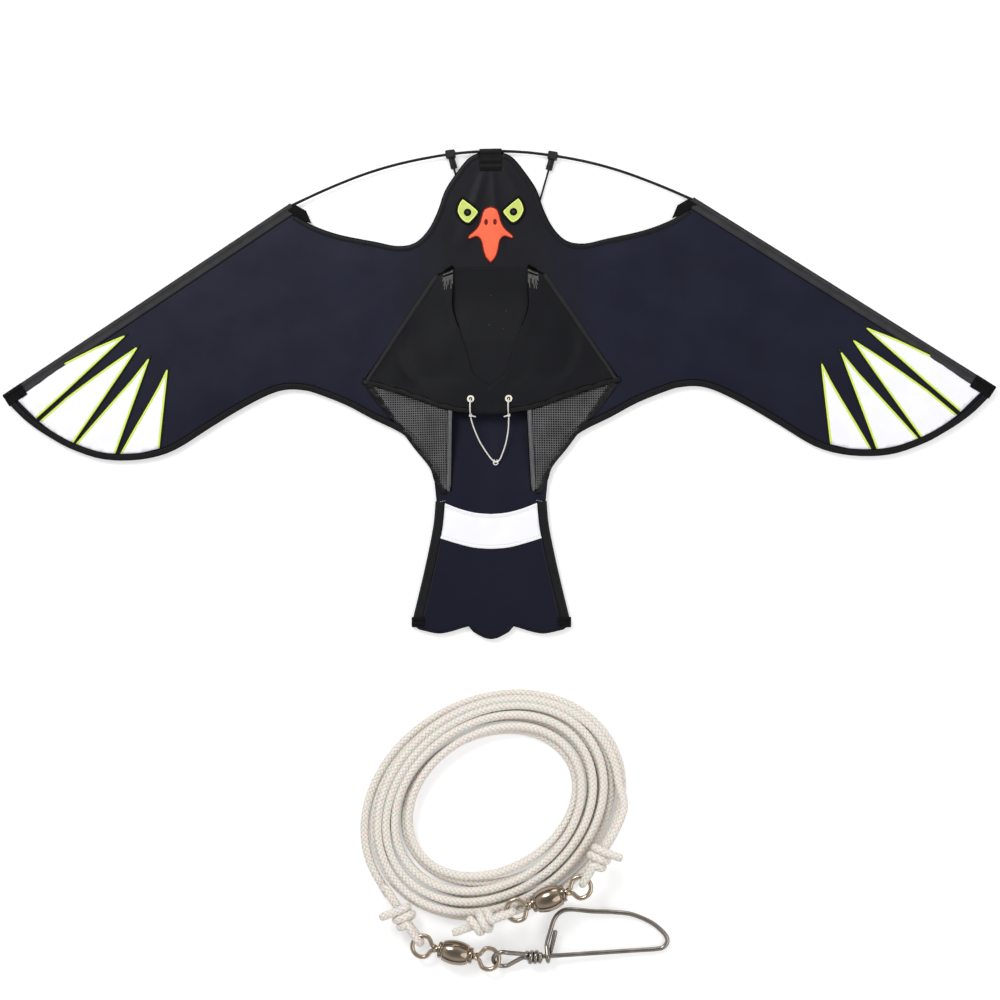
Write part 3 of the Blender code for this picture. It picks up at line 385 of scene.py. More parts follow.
@dataclass(frozen=True)
class ClothFinish:
    """Woven cloth: colour, gloss, weave and soft creases, with painted shade in the crease hollows
    and, where set, toward the tail and in the middle.
    """

    name: str
    colour: Colour
    # The darker colour that weave gaps and crease hollows blend toward; in the crease hollows it
    # is painted shade.
    shade: Colour
    roughness: float = 0.5
    specular: float = 0.5
    crease_depth: float = 0.0006
    crease_scale: float = 38.0
    threads: float = 4200.0
    weave_depth: float = 0.00004
    # How far the colour darkens toward the tail: painted shade.
    painted_tail_shade: float = 0.0
    # Darker, less blue colours blended into the middle of the sail: painted shade.
    middle: tuple[Colour, Colour] | None = None

    def make(self) -> bpy.types.Material:
        """Builds the material, with woven tint, painted shade in the crease hollows (and toward
        the tail and in the middle where set), gloss that varies and bumps.
        """
        nodes = Paint(self.name)
        where = nodes.coords()
        weave = nodes.add("ShaderNodeGroup", node_tree=weave_group())
        nodes.put(weave.inputs["Vector"], where)
        nodes.put(weave.inputs["Threads"], self.threads)
        # Crease noise: it gives the bump's height, and in the colour it darkens the hollows as
        # painted shade.
        creases = nodes.noise(where, self.crease_scale, 4.0)
        tint = nodes.math("MULTIPLY_ADD", weave.outputs["Tint"], 0.3,
                          nodes.math("MULTIPLY", creases, 0.7))
        parts = nodes.split(where)
        # Painted shade: the colour darkens toward the tail.
        if self.painted_tail_shade:
            back = nodes.share(nodes.math("MULTIPLY_ADD", parts[1], -2.6, 0.2))
            tint = nodes.math("SUBTRACT", tint, nodes.math("MULTIPLY", back, self.painted_tail_shade))
        base = nodes.blend(tint, self.shade, self.colour, 0.2, 0.75)
        # Painted shade: a darker, less blue colour in the middle of the sail, where the cloth
        # shows less sheen.
        if self.middle:
            across = nodes.math("MULTIPLY_ADD", nodes.math("ABSOLUTE", parts[0]), -13.0, 1.65)
            along = nodes.math("MULTIPLY_ADD", parts[1], 40.0, 1.28)
            share = nodes.math("MULTIPLY", nodes.share(across), nodes.share(along))
            middle = nodes.blend(tint, *self.middle, 0.2, 0.75)
            base = nodes.add("ShaderNodeMix", {0: share, 6: base, 7: middle},
                             data_type="RGBA").outputs[2]
        normal = nodes.bump(creases, self.crease_depth, 0.6)
        patches = nodes.noise(where, 9.0, 2.0)
        return nodes.set(
            Base_Color=base, Specular_IOR_Level=self.specular,
            Roughness=nodes.math("MULTIPLY_ADD", patches, 0.16, self.roughness - 0.08),
            Normal=nodes.bump(weave.outputs["Height"], self.weave_depth, 0.5, Normal=normal))


@dataclass(frozen=True)
class BraidFinish:
    """Braided cord: two sets of strands that cross in diamonds, on UV, with painted shade in the
    grooves between them.
    """

    name: str
    colour: Colour
    shade: Colour
    radius: float
    strands: int
    pitch: float
    depth: float
    glow: float = 0.0

    def make(self) -> bpy.types.Material:
        """Builds the material from the cord's own UV: u round it, v metres along."""
        nodes = Paint(self.name)
        parts = nodes.split(nodes.coords("UV"))
        round_it = nodes.math("MULTIPLY", parts[0], pi * self.strands)
        along = nodes.math("MULTIPLY", parts[1], pi / self.pitch * 2.0)
        both = nodes.math("ADD", round_it, along)
        waves = [nodes.math("SINE", both),
                 nodes.math("SINE", nodes.math("SUBTRACT", round_it, along))]
        first, second = (nodes.math("ABSOLUTE", wave) for wave in waves)
        check = nodes.math("GREATER_THAN", nodes.math("MULTIPLY", *waves), 0.0)
        over = nodes.math("MULTIPLY", check, first)
        under = nodes.math("MULTIPLY", nodes.math("SUBTRACT", 1.0, check), second)
        strand = nodes.math("POWER", nodes.math("ADD", over, under), 0.6)
        soil = nodes.noise(nodes.coords(), 120.0)
        # The strands' height also darkens the colour in the grooves between them: painted shade.
        mixed = nodes.math("MULTIPLY_ADD", soil, 0.3, nodes.math("MULTIPLY", strand, 0.8))
        fibre = nodes.math("SINE", nodes.math("MULTIPLY", both, 5.0))
        normal = nodes.bump(strand, self.depth, 0.9)
        return nodes.set(
            Base_Color=nodes.blend(mixed, self.shade, self.colour, 0.05, 0.75),
            Normal=nodes.bump(fibre, self.depth / 12, 0.4, Normal=normal), Roughness=0.62,
            Specular_IOR_Level=0.4, Sheen_Weight=0.15, Subsurface_Weight=self.glow,
            Subsurface_Scale=self.radius)


@dataclass(frozen=True)
class MetalFinish:
    """Dark nickel: bright, a little warm, with fine scratches and dull patches."""

    name: str
    colour: Colour
    shade: Colour
    roughness: float

    def make(self) -> bpy.types.Material:
        """Builds the material."""
        nodes = Paint(self.name)
        where = nodes.coords()
        patches = nodes.noise(where, 70.0, 2.0)
        scratches = nodes.noise(where, 900.0, 2.0, (0.15, 1.0, 1.0), 0.6)
        return nodes.set(
            Base_Color=nodes.blend(patches, self.shade, self.colour, 0.25, 0.75), Metallic=1.0,
            Roughness=nodes.math("MULTIPLY_ADD", scratches, 0.12, self.roughness - 0.05),
            Normal=nodes.bump(scratches, 0.00001, 0.2))


@dataclass(frozen=True)
class MouldedFinish:
    """Moulded rubber or drawn fibre rod: dark, with grain along or all over."""

    name: str
    colour: Colour
    shade: Colour
    roughness: float
    specular: float
    grain: float = 900.0
    stretch: tuple[float, float, float] = EVEN

    def make(self) -> bpy.types.Material:
        """Builds the material."""
        nodes = Paint(self.name)
        where = nodes.coords()
        grain = nodes.noise(where, self.grain, 3.0, self.stretch)
        wear = nodes.noise(where, 60.0)
        tint = nodes.math("MULTIPLY_ADD", grain, 0.5, nodes.math("MULTIPLY", wear, 0.5))
        return nodes.set(
            Base_Color=nodes.blend(tint, self.shade, self.colour, 0.3, 0.7),
            Roughness=nodes.math("MULTIPLY_ADD", wear, 0.2, self.roughness - 0.1),
            Normal=nodes.bump(grain, 0.00005, 0.35), Specular_IOR_Level=self.specular)


# Navy satin: part of its blue stands for the wings' bluish sheen, as painted sheen; its darkening
# toward the tail and its darker middle colours are painted shade.
SATIN = ClothFinish("navy_satin", (0.0124, 0.0138, 0.0300), (0.0062, 0.0072, 0.0176), 0.44, 0.15,
                    0.0010, 24.0, painted_tail_shade=0.5, middle=((0.0058, 0.0060, 0.0084), (0.0098, 0.0101,
                    0.0136)))
SATIN_HEM = ClothFinish("satin_hem", (0.0108, 0.0114, 0.0142), (0.0060, 0.0063, 0.0080), 0.46,
                        0.14, 0.0004, 120.0)
# Black edges and lines; along the wing sleeves' rounded outer side the same black is a painted
# shade line.
EDGE_AND_SHADE_LINE = ClothFinish("black_edge_and_shade_line", (0.0025, 0.0025, 0.0028), (0.0012, 0.0012, 0.0014), 0.65, 0.06,
                   0.0002, 160.0, 5200.0)
HEM = ClothFinish("black_hem_tape", (0.0115, 0.0115, 0.0132), (0.0062, 0.0062, 0.0072), 0.62,
                  0.12, 0.0003, 160.0, 5200.0)
WEBBING = ClothFinish("black_webbing", (0.0045, 0.0045, 0.0048), (0.0018, 0.0018, 0.0020), 0.66,
                      0.11, 0.0003, 120.0, 3000.0, 0.0001)
TAB_CLOTH = ClothFinish("tab_tape", (0.0125, 0.0125, 0.0135), (0.0060, 0.0060, 0.0066), 0.6, 0.14,
                        0.0003, 120.0, 3000.0, 0.0001)
SLEEVE = ClothFinish("sleeve_tape", (0.0500, 0.0500, 0.0530), (0.0270, 0.0270, 0.0290), 0.6, 0.14,
                     0.0004, 90.0, 3600.0, 0.00008)
TAIL_TAPE = ClothFinish("tail_tape", (0.0110, 0.0115, 0.0135), (0.0055, 0.0057, 0.0068), 0.6,
                        0.14, 0.0004, 90.0, 3600.0, 0.00008)
WHITE = ClothFinish("white_satin", (0.97, 0.97, 0.985), (0.89, 0.89, 0.945), 0.5, 0.35, 0.0006,
                    45.0)
SEAM_WHITE = ClothFinish("white_seam", (0.98, 0.98, 0.98), (0.92, 0.92, 0.94), 0.6, 0.3, 0.0002,
                         160.0)
NEON = ClothFinish("neon_piping", (0.76, 0.90, 0.17), (0.64, 0.80, 0.10), 0.55, 0.3, 0.0002, 200.0)
OLIVE = ClothFinish("olive_edge", (0.026, 0.030, 0.010), (0.012, 0.015, 0.006), 0.7, 0.12, 0.0002,
                    200.0)
EYE = ClothFinish("eye_cloth", (0.62, 0.72, 0.19), (0.53, 0.64, 0.12), 0.5, 0.3, 0.0003, 120.0)
EYE_RIM = ClothFinish("eye_rim", (0.86, 0.93, 0.26), (0.78, 0.87, 0.18), 0.55, 0.3, 0.0002, 200.0)
BEAK = ClothFinish("beak_cloth", (1.0, 0.165, 0.070), (0.93, 0.125, 0.05), 0.5, 0.3, 0.0003, 90.0)
BEAK_EDGE = ClothFinish("beak_edge", (0.20, 0.012, 0.010), (0.12, 0.006, 0.005), 0.6, 0.2, 0.0002,
                        200.0)
INK = ClothFinish("ink_line", (0.0045, 0.0045, 0.0048), (0.0022, 0.0022, 0.0024), 0.6, 0.10,
                  0.0002, 200.0)
PUPIL_MIDDLE = ClothFinish("pupil_middle", (0.040, 0.040, 0.042), (0.028, 0.028, 0.030), 0.5, 0.2)
KEEL_CLOTH = ClothFinish("keel_ripstop", (0.0084, 0.0087, 0.0113), (0.0048, 0.0051, 0.0069), 0.56,
                         0.12, 0.0008, 30.0, 2600.0)
KEEL_HEM = ClothFinish("keel_hem", (0.0105, 0.0105, 0.0115), (0.0055, 0.0055, 0.0060), 0.6, 0.14,
                       0.0005, 120.0)
# A pale tone: on the keel's side hems it is a painted highlight; the tail tapes' beads wear it
# too.
SIDE_HIGHLIGHT_AND_BEAD = ClothFinish("keel_side", (0.0190, 0.0190, 0.0200), (0.0105, 0.0105, 0.0112), 0.55,
                        0.22, 0.0005, 120.0)
FOLD_TAPE = ClothFinish("folded_tape", (0.0050, 0.0050, 0.0056), (0.0022, 0.0022, 0.0025), 0.45,
                        0.22, 0.0022, 130.0)
# Pale streaks on the gathered throat tape: painted highlights on its folds.
STREAK_HIGHLIGHT = ClothFinish("tape_streak_highlight", (0.20, 0.205, 0.195), (0.045, 0.047, 0.044), 0.7, 0.2,
                     0.0002, 300.0, 6000.0)
GREY_STRIP = ClothFinish("grey_strip", (0.165, 0.168, 0.172), (0.105, 0.107, 0.110), 0.6, 0.25,
                         0.0003, 160.0, 3000.0)
NET = ClothFinish("net_thread", (0.205, 0.198, 0.203), (0.075, 0.072, 0.074), 0.7, 0.2, 0.0001,
                  46.0)
THREAD = ClothFinish("dark_thread", (0.020, 0.020, 0.022), (0.010, 0.010, 0.011), 0.6, 0.2,
                     0.0001, 400.0)
PALE_THREAD = ClothFinish("pale_thread", (0.72, 0.72, 0.74), (0.6, 0.6, 0.62), 0.6, 0.4, 0.0001,
                          400.0)
ROD = MouldedFinish("fibre_rod", (0.0070, 0.0070, 0.0074), (0.0030, 0.0030, 0.0033), 0.38, 0.25,
                    500.0, (0.2, 1.0, 1.0))
RUBBER = MouldedFinish("black_rubber", (0.0095, 0.0095, 0.0098), (0.0045, 0.0045, 0.0047), 0.5,
                       0.3)
NICKEL = MetalFinish("dark_nickel", (0.36, 0.325, 0.29), (0.24, 0.215, 0.19), 0.17)
EYE_NICKEL = MetalFinish("brown_nickel", (0.60, 0.50, 0.38), (0.38, 0.31, 0.23), 0.15)
BARREL_NICKEL = MetalFinish("warm_nickel", (0.36, 0.29, 0.225), (0.26, 0.205, 0.155), 0.12)
EYELET = MetalFinish("pale_brass", (1.0, 0.95, 0.80), (0.88, 0.83, 0.68), 0.5)
LINE_BRAID = BraidFinish("line_braid", (0.93, 0.875, 0.80), (0.66, 0.59, 0.505), LINE_RADIUS, 5,
                         0.0115, 0.0011, 0.3)
BRIDLE_BRAID = BraidFinish("bridle_braid", (0.90, 0.87, 0.79), (0.58, 0.54, 0.45), 0.0009, 4,
                           0.0022, 0.00012)


@dataclass
class Wardrobe:
    """Keeps each finish's material, made once."""

    made: dict[str, bpy.types.Material] = field(default_factory=dict)

    def get(self, finish: object) -> bpy.types.Material:
        """Returns the material of a finish."""
        if finish.name not in self.made:
            self.made[finish.name] = finish.make()
        return self.made[finish.name]

    def dress(self, obj: Object, finish: object) -> Object:
        """Gives an object one finish, in every material slot it has, and returns it."""
        if not obj.material_slots:
            obj.data.materials.append(self.get(finish))
        for slot in obj.material_slots:
            slot.material = self.get(finish)
        return obj


WARDROBE = Wardrobe()


@dataclass(frozen=True)
class Lamp:
    """One soft area lamp."""

    name: str
    place: tuple[float, float, float]
    aim: tuple[float, float, float]
    size: float
    power: float

    def build(self) -> None:
        """Adds the lamp."""
        data = bpy.data.lights.new(self.name, "AREA")
        data.shape = "DISK"
        data.size = self.size
        data.energy = self.power
        obj = link(self.name, data)
        obj.location = self.place
        aim = Vector(self.aim) - Vector(self.place)
        obj.rotation_euler = aim.to_track_quat("-Z", "Y").to_euler()


@dataclass
class Studio:
    """Camera, lamps and floor that repeat the photograph's view.

    The camera looks down through a long lens, a few degrees off the plumb
    line, so that the right wing is a little nearer, as in the photograph.
    """

    aim: Pair = (0.01029, -0.12869)
    focal_px: float = 2491.65
    side_px: float = 1000.0
    roll: float = radians(0.077)
    tip: float = radians(-2.014)
    lean: float = radians(5.036)
    distance: float = 3.0
    lamps: tuple[Lamp, ...] = (
        Lamp("key_lamp", (-1.1, 1.5, 2.4), (0.0, -0.1, 0.0), 1.3, 38.0),
        Lamp("fill_lamp", (1.7, -1.0, 2.2), (0.0, -0.2, 0.0), 2.2, 19.0),
        Lamp("edge_lamp", (0.3, 2.6, 0.9), (0.0, 0.1, 0.0), 1.2, 10.0),
    )
    sky: tuple[Pair, ...] = ((0.22, 0.22), (0.40, 0.90), (0.66, 1.0), (0.86, 0.50))
    world_strength: float = 0.86
    floor_half: float = 12.0

    def build(self) -> None:
        """Builds the camera, the world, the lamps and the floor."""
        self.camera()
        self.world()
        for lamp in self.lamps:
            lamp.build()
        self.floor()
        bpy.context.scene.view_settings.view_transform = "Standard"

    def camera(self) -> None:
        """Adds the long lens camera."""
        data = bpy.data.cameras.new("camera")
        data.type = "PERSP"
        data.sensor_fit = "HORIZONTAL"
        data.angle = 2 * atan2(self.side_px / 2, self.focal_px)
        data.clip_start, data.clip_end = 0.1, 50.0
        camera = link("camera", data)
        back = (Matrix.Rotation(self.roll, 4, "Z") @ Matrix.Rotation(self.tip, 4, "X")
                @ Matrix.Rotation(-self.lean, 4, "Y")).inverted()
        camera.matrix_world = Matrix.Translation(
            flat(*self.aim) + back @ (UP * self.distance)) @ back
        bpy.context.scene.camera = camera

    def world(self) -> None:
        """Adds a plain bright world with a darker side, so that gloss shows."""
        world = bpy.data.worlds.new("studio_world")
        bpy.context.scene.world = world
        world.use_nodes = True
        sky = Tree(world.node_tree)
        where = sky.add("ShaderNodeTexCoord").outputs["Generated"]
        ramp_node = sky.add("ShaderNodeValToRGB", {0: sky.split(where)["Z"]})
        elements = ramp_node.color_ramp.elements
        elements[0].color = (0.10, 0.10, 0.105, 1.0)
        elements[1].color = (0.34, 0.34, 0.35, 1.0)
        for place, level in self.sky:
            elements.new(place).color = (level, level, level, 1.0)
        background = world.node_tree.nodes["Background"].inputs
        sky.put(background["Color"], ramp_node.outputs[0])
        sky.put(background["Strength"], self.world_strength)

    def floor(self) -> None:
        """Adds the floor, white to the camera but for the object's shadow."""
        half = self.floor_half
        corners = [flat(-half, -half), flat(half, -half), flat(half, half), flat(-half, half)]
        floor = mesh_piece("floor", corners, [(0, 1, 2, 3)], recalc=False)
        nodes = Paint("floor_paper")
        nodes.set(Roughness=1.0, Specular_IOR_Level=0.0, Base_Color=(0.82, 0.82, 0.82, 1.0))
        glow = nodes.add("ShaderNodeEmission", {"Color": (1.0, 1.0, 1.0, 1.0),
                                                "Strength": 0.36}).outputs[0]
        rays = nodes.add("ShaderNodeLightPath").outputs
        seen = nodes.math("MAXIMUM", nodes.math("MAXIMUM", rays["Is Camera Ray"],
                                                rays["Is Glossy Ray"]),
                          rays["Is Transmission Ray"])
        paper = nodes.shader.outputs[0]
        plain = nodes.add("ShaderNodeAddShader", {0: paper, 1: glow}).outputs[0]
        mixed = nodes.add("ShaderNodeMixShader", {0: seen, 1: paper, 2: plain}).outputs[0]
        nodes.put(nodes.tree.nodes["Material Output"].inputs["Surface"], mixed)
        floor.data.materials.append(nodes.material)


def sweep(points: Line, section: Section, up: Vector | None = None, closed: bool = False,
          name: str = "sweep", uv: bool = False) -> Object:
    """Sweeps a closed section along a line.

    Args:
        points: the line.
        section: gives the section's (across, up) pairs for a share along it
            and the point's number; each call gives the same count.
        up: the section's up direction, or None to carry it without twist.
        closed: whether the line is a ring.
        name: the piece's name.
        uv: whether to write UV, round the section and metres along.

    Returns:
        The mesh object, with capped ends unless closed.
    """
    count = len(points)
    rings, lengths = [], [0.0]
    for a, b in zip(points, points[1:]):
        lengths.append(lengths[-1] + (b - a).length)
    carried = (up or UP).copy()
    for i, p in enumerate(points):
        before = points[i - 1] if i or closed else p
        after = points[(i + 1) % count] if i < count - 1 or closed else p
        along = (after - before).normalized()
        if up is None and abs(along.dot(carried)) > 0.999:
            carried = Vector((1.0, 0.0, 0.0))
        side = along.cross(carried).normalized()
        lift = side.cross(along).normalized()
        if up is None:
            carried = lift
        rings.append([p + side * x + lift * y for x, y in section(i / max(count - 1, 1), i)])
    width = len(rings[0])
    faces = band_faces(count, width, closed)
    if not closed:
        faces.append(tuple(range(width)))
        faces.append(tuple((count - 1) * width + k for k in reversed(range(width))))
    obj = mesh_piece(name, [p for ring in rings for p in ring], faces)
    if uv:
        write_sweep_uv(obj.data, width, lengths)
    return obj


def band_faces(count: int, width: int, closed: bool) -> list[tuple[int, ...]]:
    """Returns the faces between rings of points that follow each other."""
    faces = []
    for i in range(count if closed else count - 1):
        a, b = i * width, (i + 1) % count * width
        for k in range(width):
            m = (k + 1) % width
            faces.append((a + k, a + m, b + m, b + k))
    return faces


def write_sweep_uv(data: bpy.types.Mesh, width: int, lengths: Sequence[float]) -> None:
    """Writes UV for a swept mesh: u round it from 0 to 1, v metres along it."""
    layer = data.uv_layers.new(name="along")
    for polygon in data.polygons:
        ks = [data.loops[i].vertex_index % width for i in polygon.loop_indices]
        wraps = len(ks) == 4 and max(ks) == width - 1 and min(ks) == 0
        for i, k in zip(polygon.loop_indices, ks):
            u = 1.0 if wraps and k == 0 else k / width
            layer.data[i].uv = (u, lengths[data.loops[i].vertex_index // width])


def round_section(radius: float, sides: int, blunt: bool = True, count: int = 0) -> Section:
    """Returns a round section that may close in at both ends.

    Args:
        radius: the cord's radius.
        sides: how many points it has.
        blunt: whether the last rings draw in, as a cut end does.
        count: how many rings the sweep has.

    Returns:
        The section, for sweep().
    """
    unit = circle(sides)

    def section(_: float, i: int) -> Sequence[Pair]:
        """Gives the round section at one ring."""
        from_end = min(i, count - 1 - i)
        size = radius * ((0.80, 0.95)[from_end] if blunt and from_end < 2 else 1.0)
        return [(x * size, y * size) for x, y in unit]

    return section


def flat_section(width: float, thick: float, sides: int = 3) -> Section:
    """Returns a flat tape section with rounded edges, centred on its line."""
    r = thick / 2
    pairs = []
    for start, middle in ((-pi / 2, width / 2 - r), (pi / 2, -width / 2 + r)):
        for n in range(sides + 1):
            angle = start + pi * n / sides
            pairs.append((middle + r * cos(angle), r * sin(angle)))
    return lambda share, i: pairs


def ribbon(path: Line, width: float, thick: float) -> Object:
    """Makes a level tape along a line."""
    return sweep(path, flat_section(width, thick), UP)


def cord_piece(name: str, path: Line, radius: float, sides: int = 12,
               closed: bool = False) -> Object:
    """Makes a braided cord as a mesh tube with UV along it."""
    return sweep(path, round_section(radius, sides, not closed, len(path)), closed=closed,
                 name=name, uv=True)


@dataclass
class Outline:
    """A closed outline in plan, with its distance function."""

    points: list[Vector]

    def edges(self) -> zip:
        """Returns each edge's start and end as pairs of x and y."""
        a = np.array([(p.x, p.y) for p in self.points])
        return zip(a, np.roll(a, -1, axis=0))

    def distance(self, places: np.ndarray) -> np.ndarray:
        """Returns each place's distance to the outline, in metres."""
        best = np.full(len(places), 9.0)
        for (ax, ay), (bx, by) in self.edges():
            dx, dy = bx - ax, by - ay
            size = max(dx * dx + dy * dy, 1e-12)
            t = np.clip(((places[:, 0] - ax) * dx + (places[:, 1] - ay) * dy) / size, 0, 1)
            best = np.minimum(best, np.hypot(places[:, 0] - ax - t * dx,
                                             places[:, 1] - ay - t * dy))
        return best

    def inside(self, places: np.ndarray) -> np.ndarray:
        """Returns which places lie inside."""
        found = np.zeros(len(places), bool)
        for (ax, ay), (bx, by) in self.edges():
            crosses = (ay > places[:, 1]) != (by > places[:, 1])
            with np.errstate(divide="ignore", invalid="ignore"):
                at = ax + (places[:, 1] - ay) * (bx - ax) / (by - ay)
            found ^= crosses & (places[:, 0] < at)
        return found

    def inset(self, depth: float) -> list[Vector]:
        """Returns the outline moved inward by a depth, corner by corner."""
        following = self.points[1:] + self.points[:1]
        area = sum(a.x * b.y - b.x * a.y for a, b in zip(self.points, following))
        turn = 1.0 if area > 0 else -1.0
        moved = []
        for i, (p, b) in enumerate(zip(self.points, following)):
            first = (p - self.points[i - 1]).normalized()
            mean = first + (b - p).normalized()
            if mean.length < 1e-6:
                moved.append(p.copy())
                continue
            mean.normalize()
            normal = flat(-mean.y, mean.x) * turn
            moved.append(p + normal * depth / max(0.35, abs(mean.dot(first))))
        return moved


@dataclass
class Relief:
    """The sail's surface: how high the cloth lies at any place."""

    sail: Outline
    ripple: float = 0.0011
    fold: float = 0.0013
    edge: float = 0.030

    def calm(self, x: np.ndarray, y: np.ndarray) -> np.ndarray:
        """Returns 0 where the cloth must lie flat, and 1 where it may rise."""
        hem = ramp(self.sail.distance(np.column_stack([x, y])), self.edge)
        beside = np.abs(x) - 0.045 - np.clip(0.165 - y, 0, 0.16) * 0.8
        keel = ramp(np.abs(x) - 0.05, 0.05) * ramp(beside, 0.04)
        ends = np.maximum(ramp(y - 0.165, 0.02), ramp(-0.12 - y, 0.02))
        return hem * hem * (3 - 2 * hem) * np.maximum(keel, ends)

    def rise(self, x: np.ndarray, y: np.ndarray) -> np.ndarray:
        """Returns how far the cloth stands over its flat height, zero or more."""
        reach = np.abs(x)
        along = reach * 0.83 - y * 0.55
        waves = (np.sin(along * 31.0 + np.sin(y * 17.0) * 1.4 + np.sign(x) * 0.6)
                 + 0.6 * np.sin(along * 62.0 + y * 23.0 + 1.0)
                 + 0.35 * np.sin(y * 90.0 + reach * 41.0 + np.sign(x)))
        wing = self.ripple * (0.5 + waves / 3.9) * ramp(reach - 0.06, 0.1)
        angle = np.arctan2(x, 0.294 - y)
        far = np.hypot(x, 0.294 - y)
        rays = np.clip(np.sin(angle * 13.0 + np.sin(angle * 5.0)), 0, 1) ** 1.5
        head = self.fold * rays * ramp(far, 0.03) * ramp(0.16 - far, 0.1)
        down = self.ripple * 0.6 * (0.5 + 0.5 * np.sin(x * 120.0 + np.sin(y * 30.0)))
        tail = down * ramp(-0.14 - y, 0.05)
        return (wing + head + tail) * self.calm(x, y) + self.lap(x, y)

    def lap(self, x: np.ndarray, y: np.ndarray) -> np.ndarray:
        """Returns the long soft folds between the light strips."""
        room = (ramp(PLAN.y(428.0) - y, 0.03) * ramp(y - PLAN.y(512.0), 0.02)
                * ramp(0.045 - np.abs(x), 0.014))
        return 0.0010 * room * (0.5 + 0.5 * np.sin(x * 118.0 + 1.3 + y * 9.0)) ** 2

    def height(self, places: Line, lift: float = 0.0) -> list[Vector]:
        """Returns level places laid on the cloth's middle surface.

        Args:
            places: points whose x and y are used.
            lift: metres over the cloth's middle.

        Returns:
            New points.
        """
        x = np.array([p.x for p in places])
        y = np.array([p.y for p in places])
        return [Vector(v) for v in zip(x, y, SAIL_HEIGHT + self.rise(x, y) + lift)]


def fill(name: str, outline: Outline, relief: Relief, step: float, lift: float,
         thick: float, puff: float = 0.0) -> Object:
    """Fills an outline with an even mesh of cloth that lies on the relief.

    Args:
        name: the piece's name.
        outline: its outline.
        relief: what it lies on.
        step: the mesh's spacing.
        lift: its middle's height over the sail's middle.
        thick: the cloth's thickness.
        puff: how far its middle stands up from its sewn edge.

    Returns:
        The closed cloth.
    """
    corners = outline.points
    across, along = [p.x for p in corners], [p.y for p in corners]
    xs = np.arange(Vector((min(across), 0)).x, Vector((max(across), 0)).x, step)
    ys = np.arange(Vector((min(along), 0)).x, Vector((max(along), 0)).x, step * 0.866)
    grid = np.array([(x + (step / 2 if j % 2 else 0.0), y) for j, y in enumerate(ys) for x in xs])
    grid = grid[outline.inside(grid) & (outline.distance(grid) > step * 0.45)]
    edge = even(corners + [corners[0]], step)[:-1]
    border = merge_border(corners, [p for p in edge
                                    if min((p - c).length for c in corners) > step * 0.4])
    coords = [Vector((p.x, p.y)) for p in border] + [Vector(p) for p in grid]
    edges = [(i, (i + 1) % len(border)) for i in range(len(border))]
    found = delaunay_2d_cdt(coords, edges, [], 1, 1e-7)
    laid = relief.height(found[0], lift)
    if puff:
        soft = ramp(outline.distance(np.array([(p.x, p.y) for p in found[0]])), 3 * step)
        for p, share in zip(laid, soft * (2 - soft)):
            p.z += puff * float(share)
    return thicken(mesh_piece(name, laid, found[2], recalc=False), thick)


def merge_border(corners: Line, ring: Line) -> list[Vector]:
    """Returns corners with the ring's even points sorted in between them."""
    found = []
    for i, a in enumerate(corners):
        span = corners[(i + 1) % len(corners)] - a
        on_it = []
        for p in ring:
            t = (p - a).dot(span) / max(span.length_squared, 1e-12)
            if 0.0 < t < 1.0 and ((a + span * t) - p).length < 1e-6:
                on_it.append((t, p))
        found += [a] + [p for _, p in sorted(on_it, key=lambda pair: pair[0])]
    return found


def tape_along(name: str, path: Line, relief: Relief, width: float, thick: float,
               lift: float, step: float = 0.004, closed: bool = False) -> Object:
    """Lays a flat tape along a line on the cloth.

    Args:
        name: the piece's name.
        path: the tape's middle line, in plan.
        relief: what it lies on.
        width: the tape's width.
        thick: its thickness.
        lift: its middle's height over the sail's middle.
        step: the spacing along it.
        closed: whether it is a ring.

    Returns:
        The tape.
    """
    line = even([*path, path[0]], step)[:-1] if closed else even(path, step)
    return sweep(relief.height(line, lift), flat_section(width, thick), UP, closed, name)


@dataclass(frozen=True)
class Stitch:
    """One kind of stitch: its length, thickness, gap and finish."""

    length: float
    thick: float
    gap: float
    finish: ClothFinish


RUN_STITCH = Stitch(0.0022, 0.00042, 0.0011, THREAD)
FINE_STITCH = Stitch(0.0016, 0.00034, 0.0009, THREAD)
PALE_STITCH = Stitch(0.0016, 0.00040, 0.0012, PALE_THREAD)
TACK_STITCH = Stitch(0.0016, 0.00036, 0.0010, GREY_STRIP)


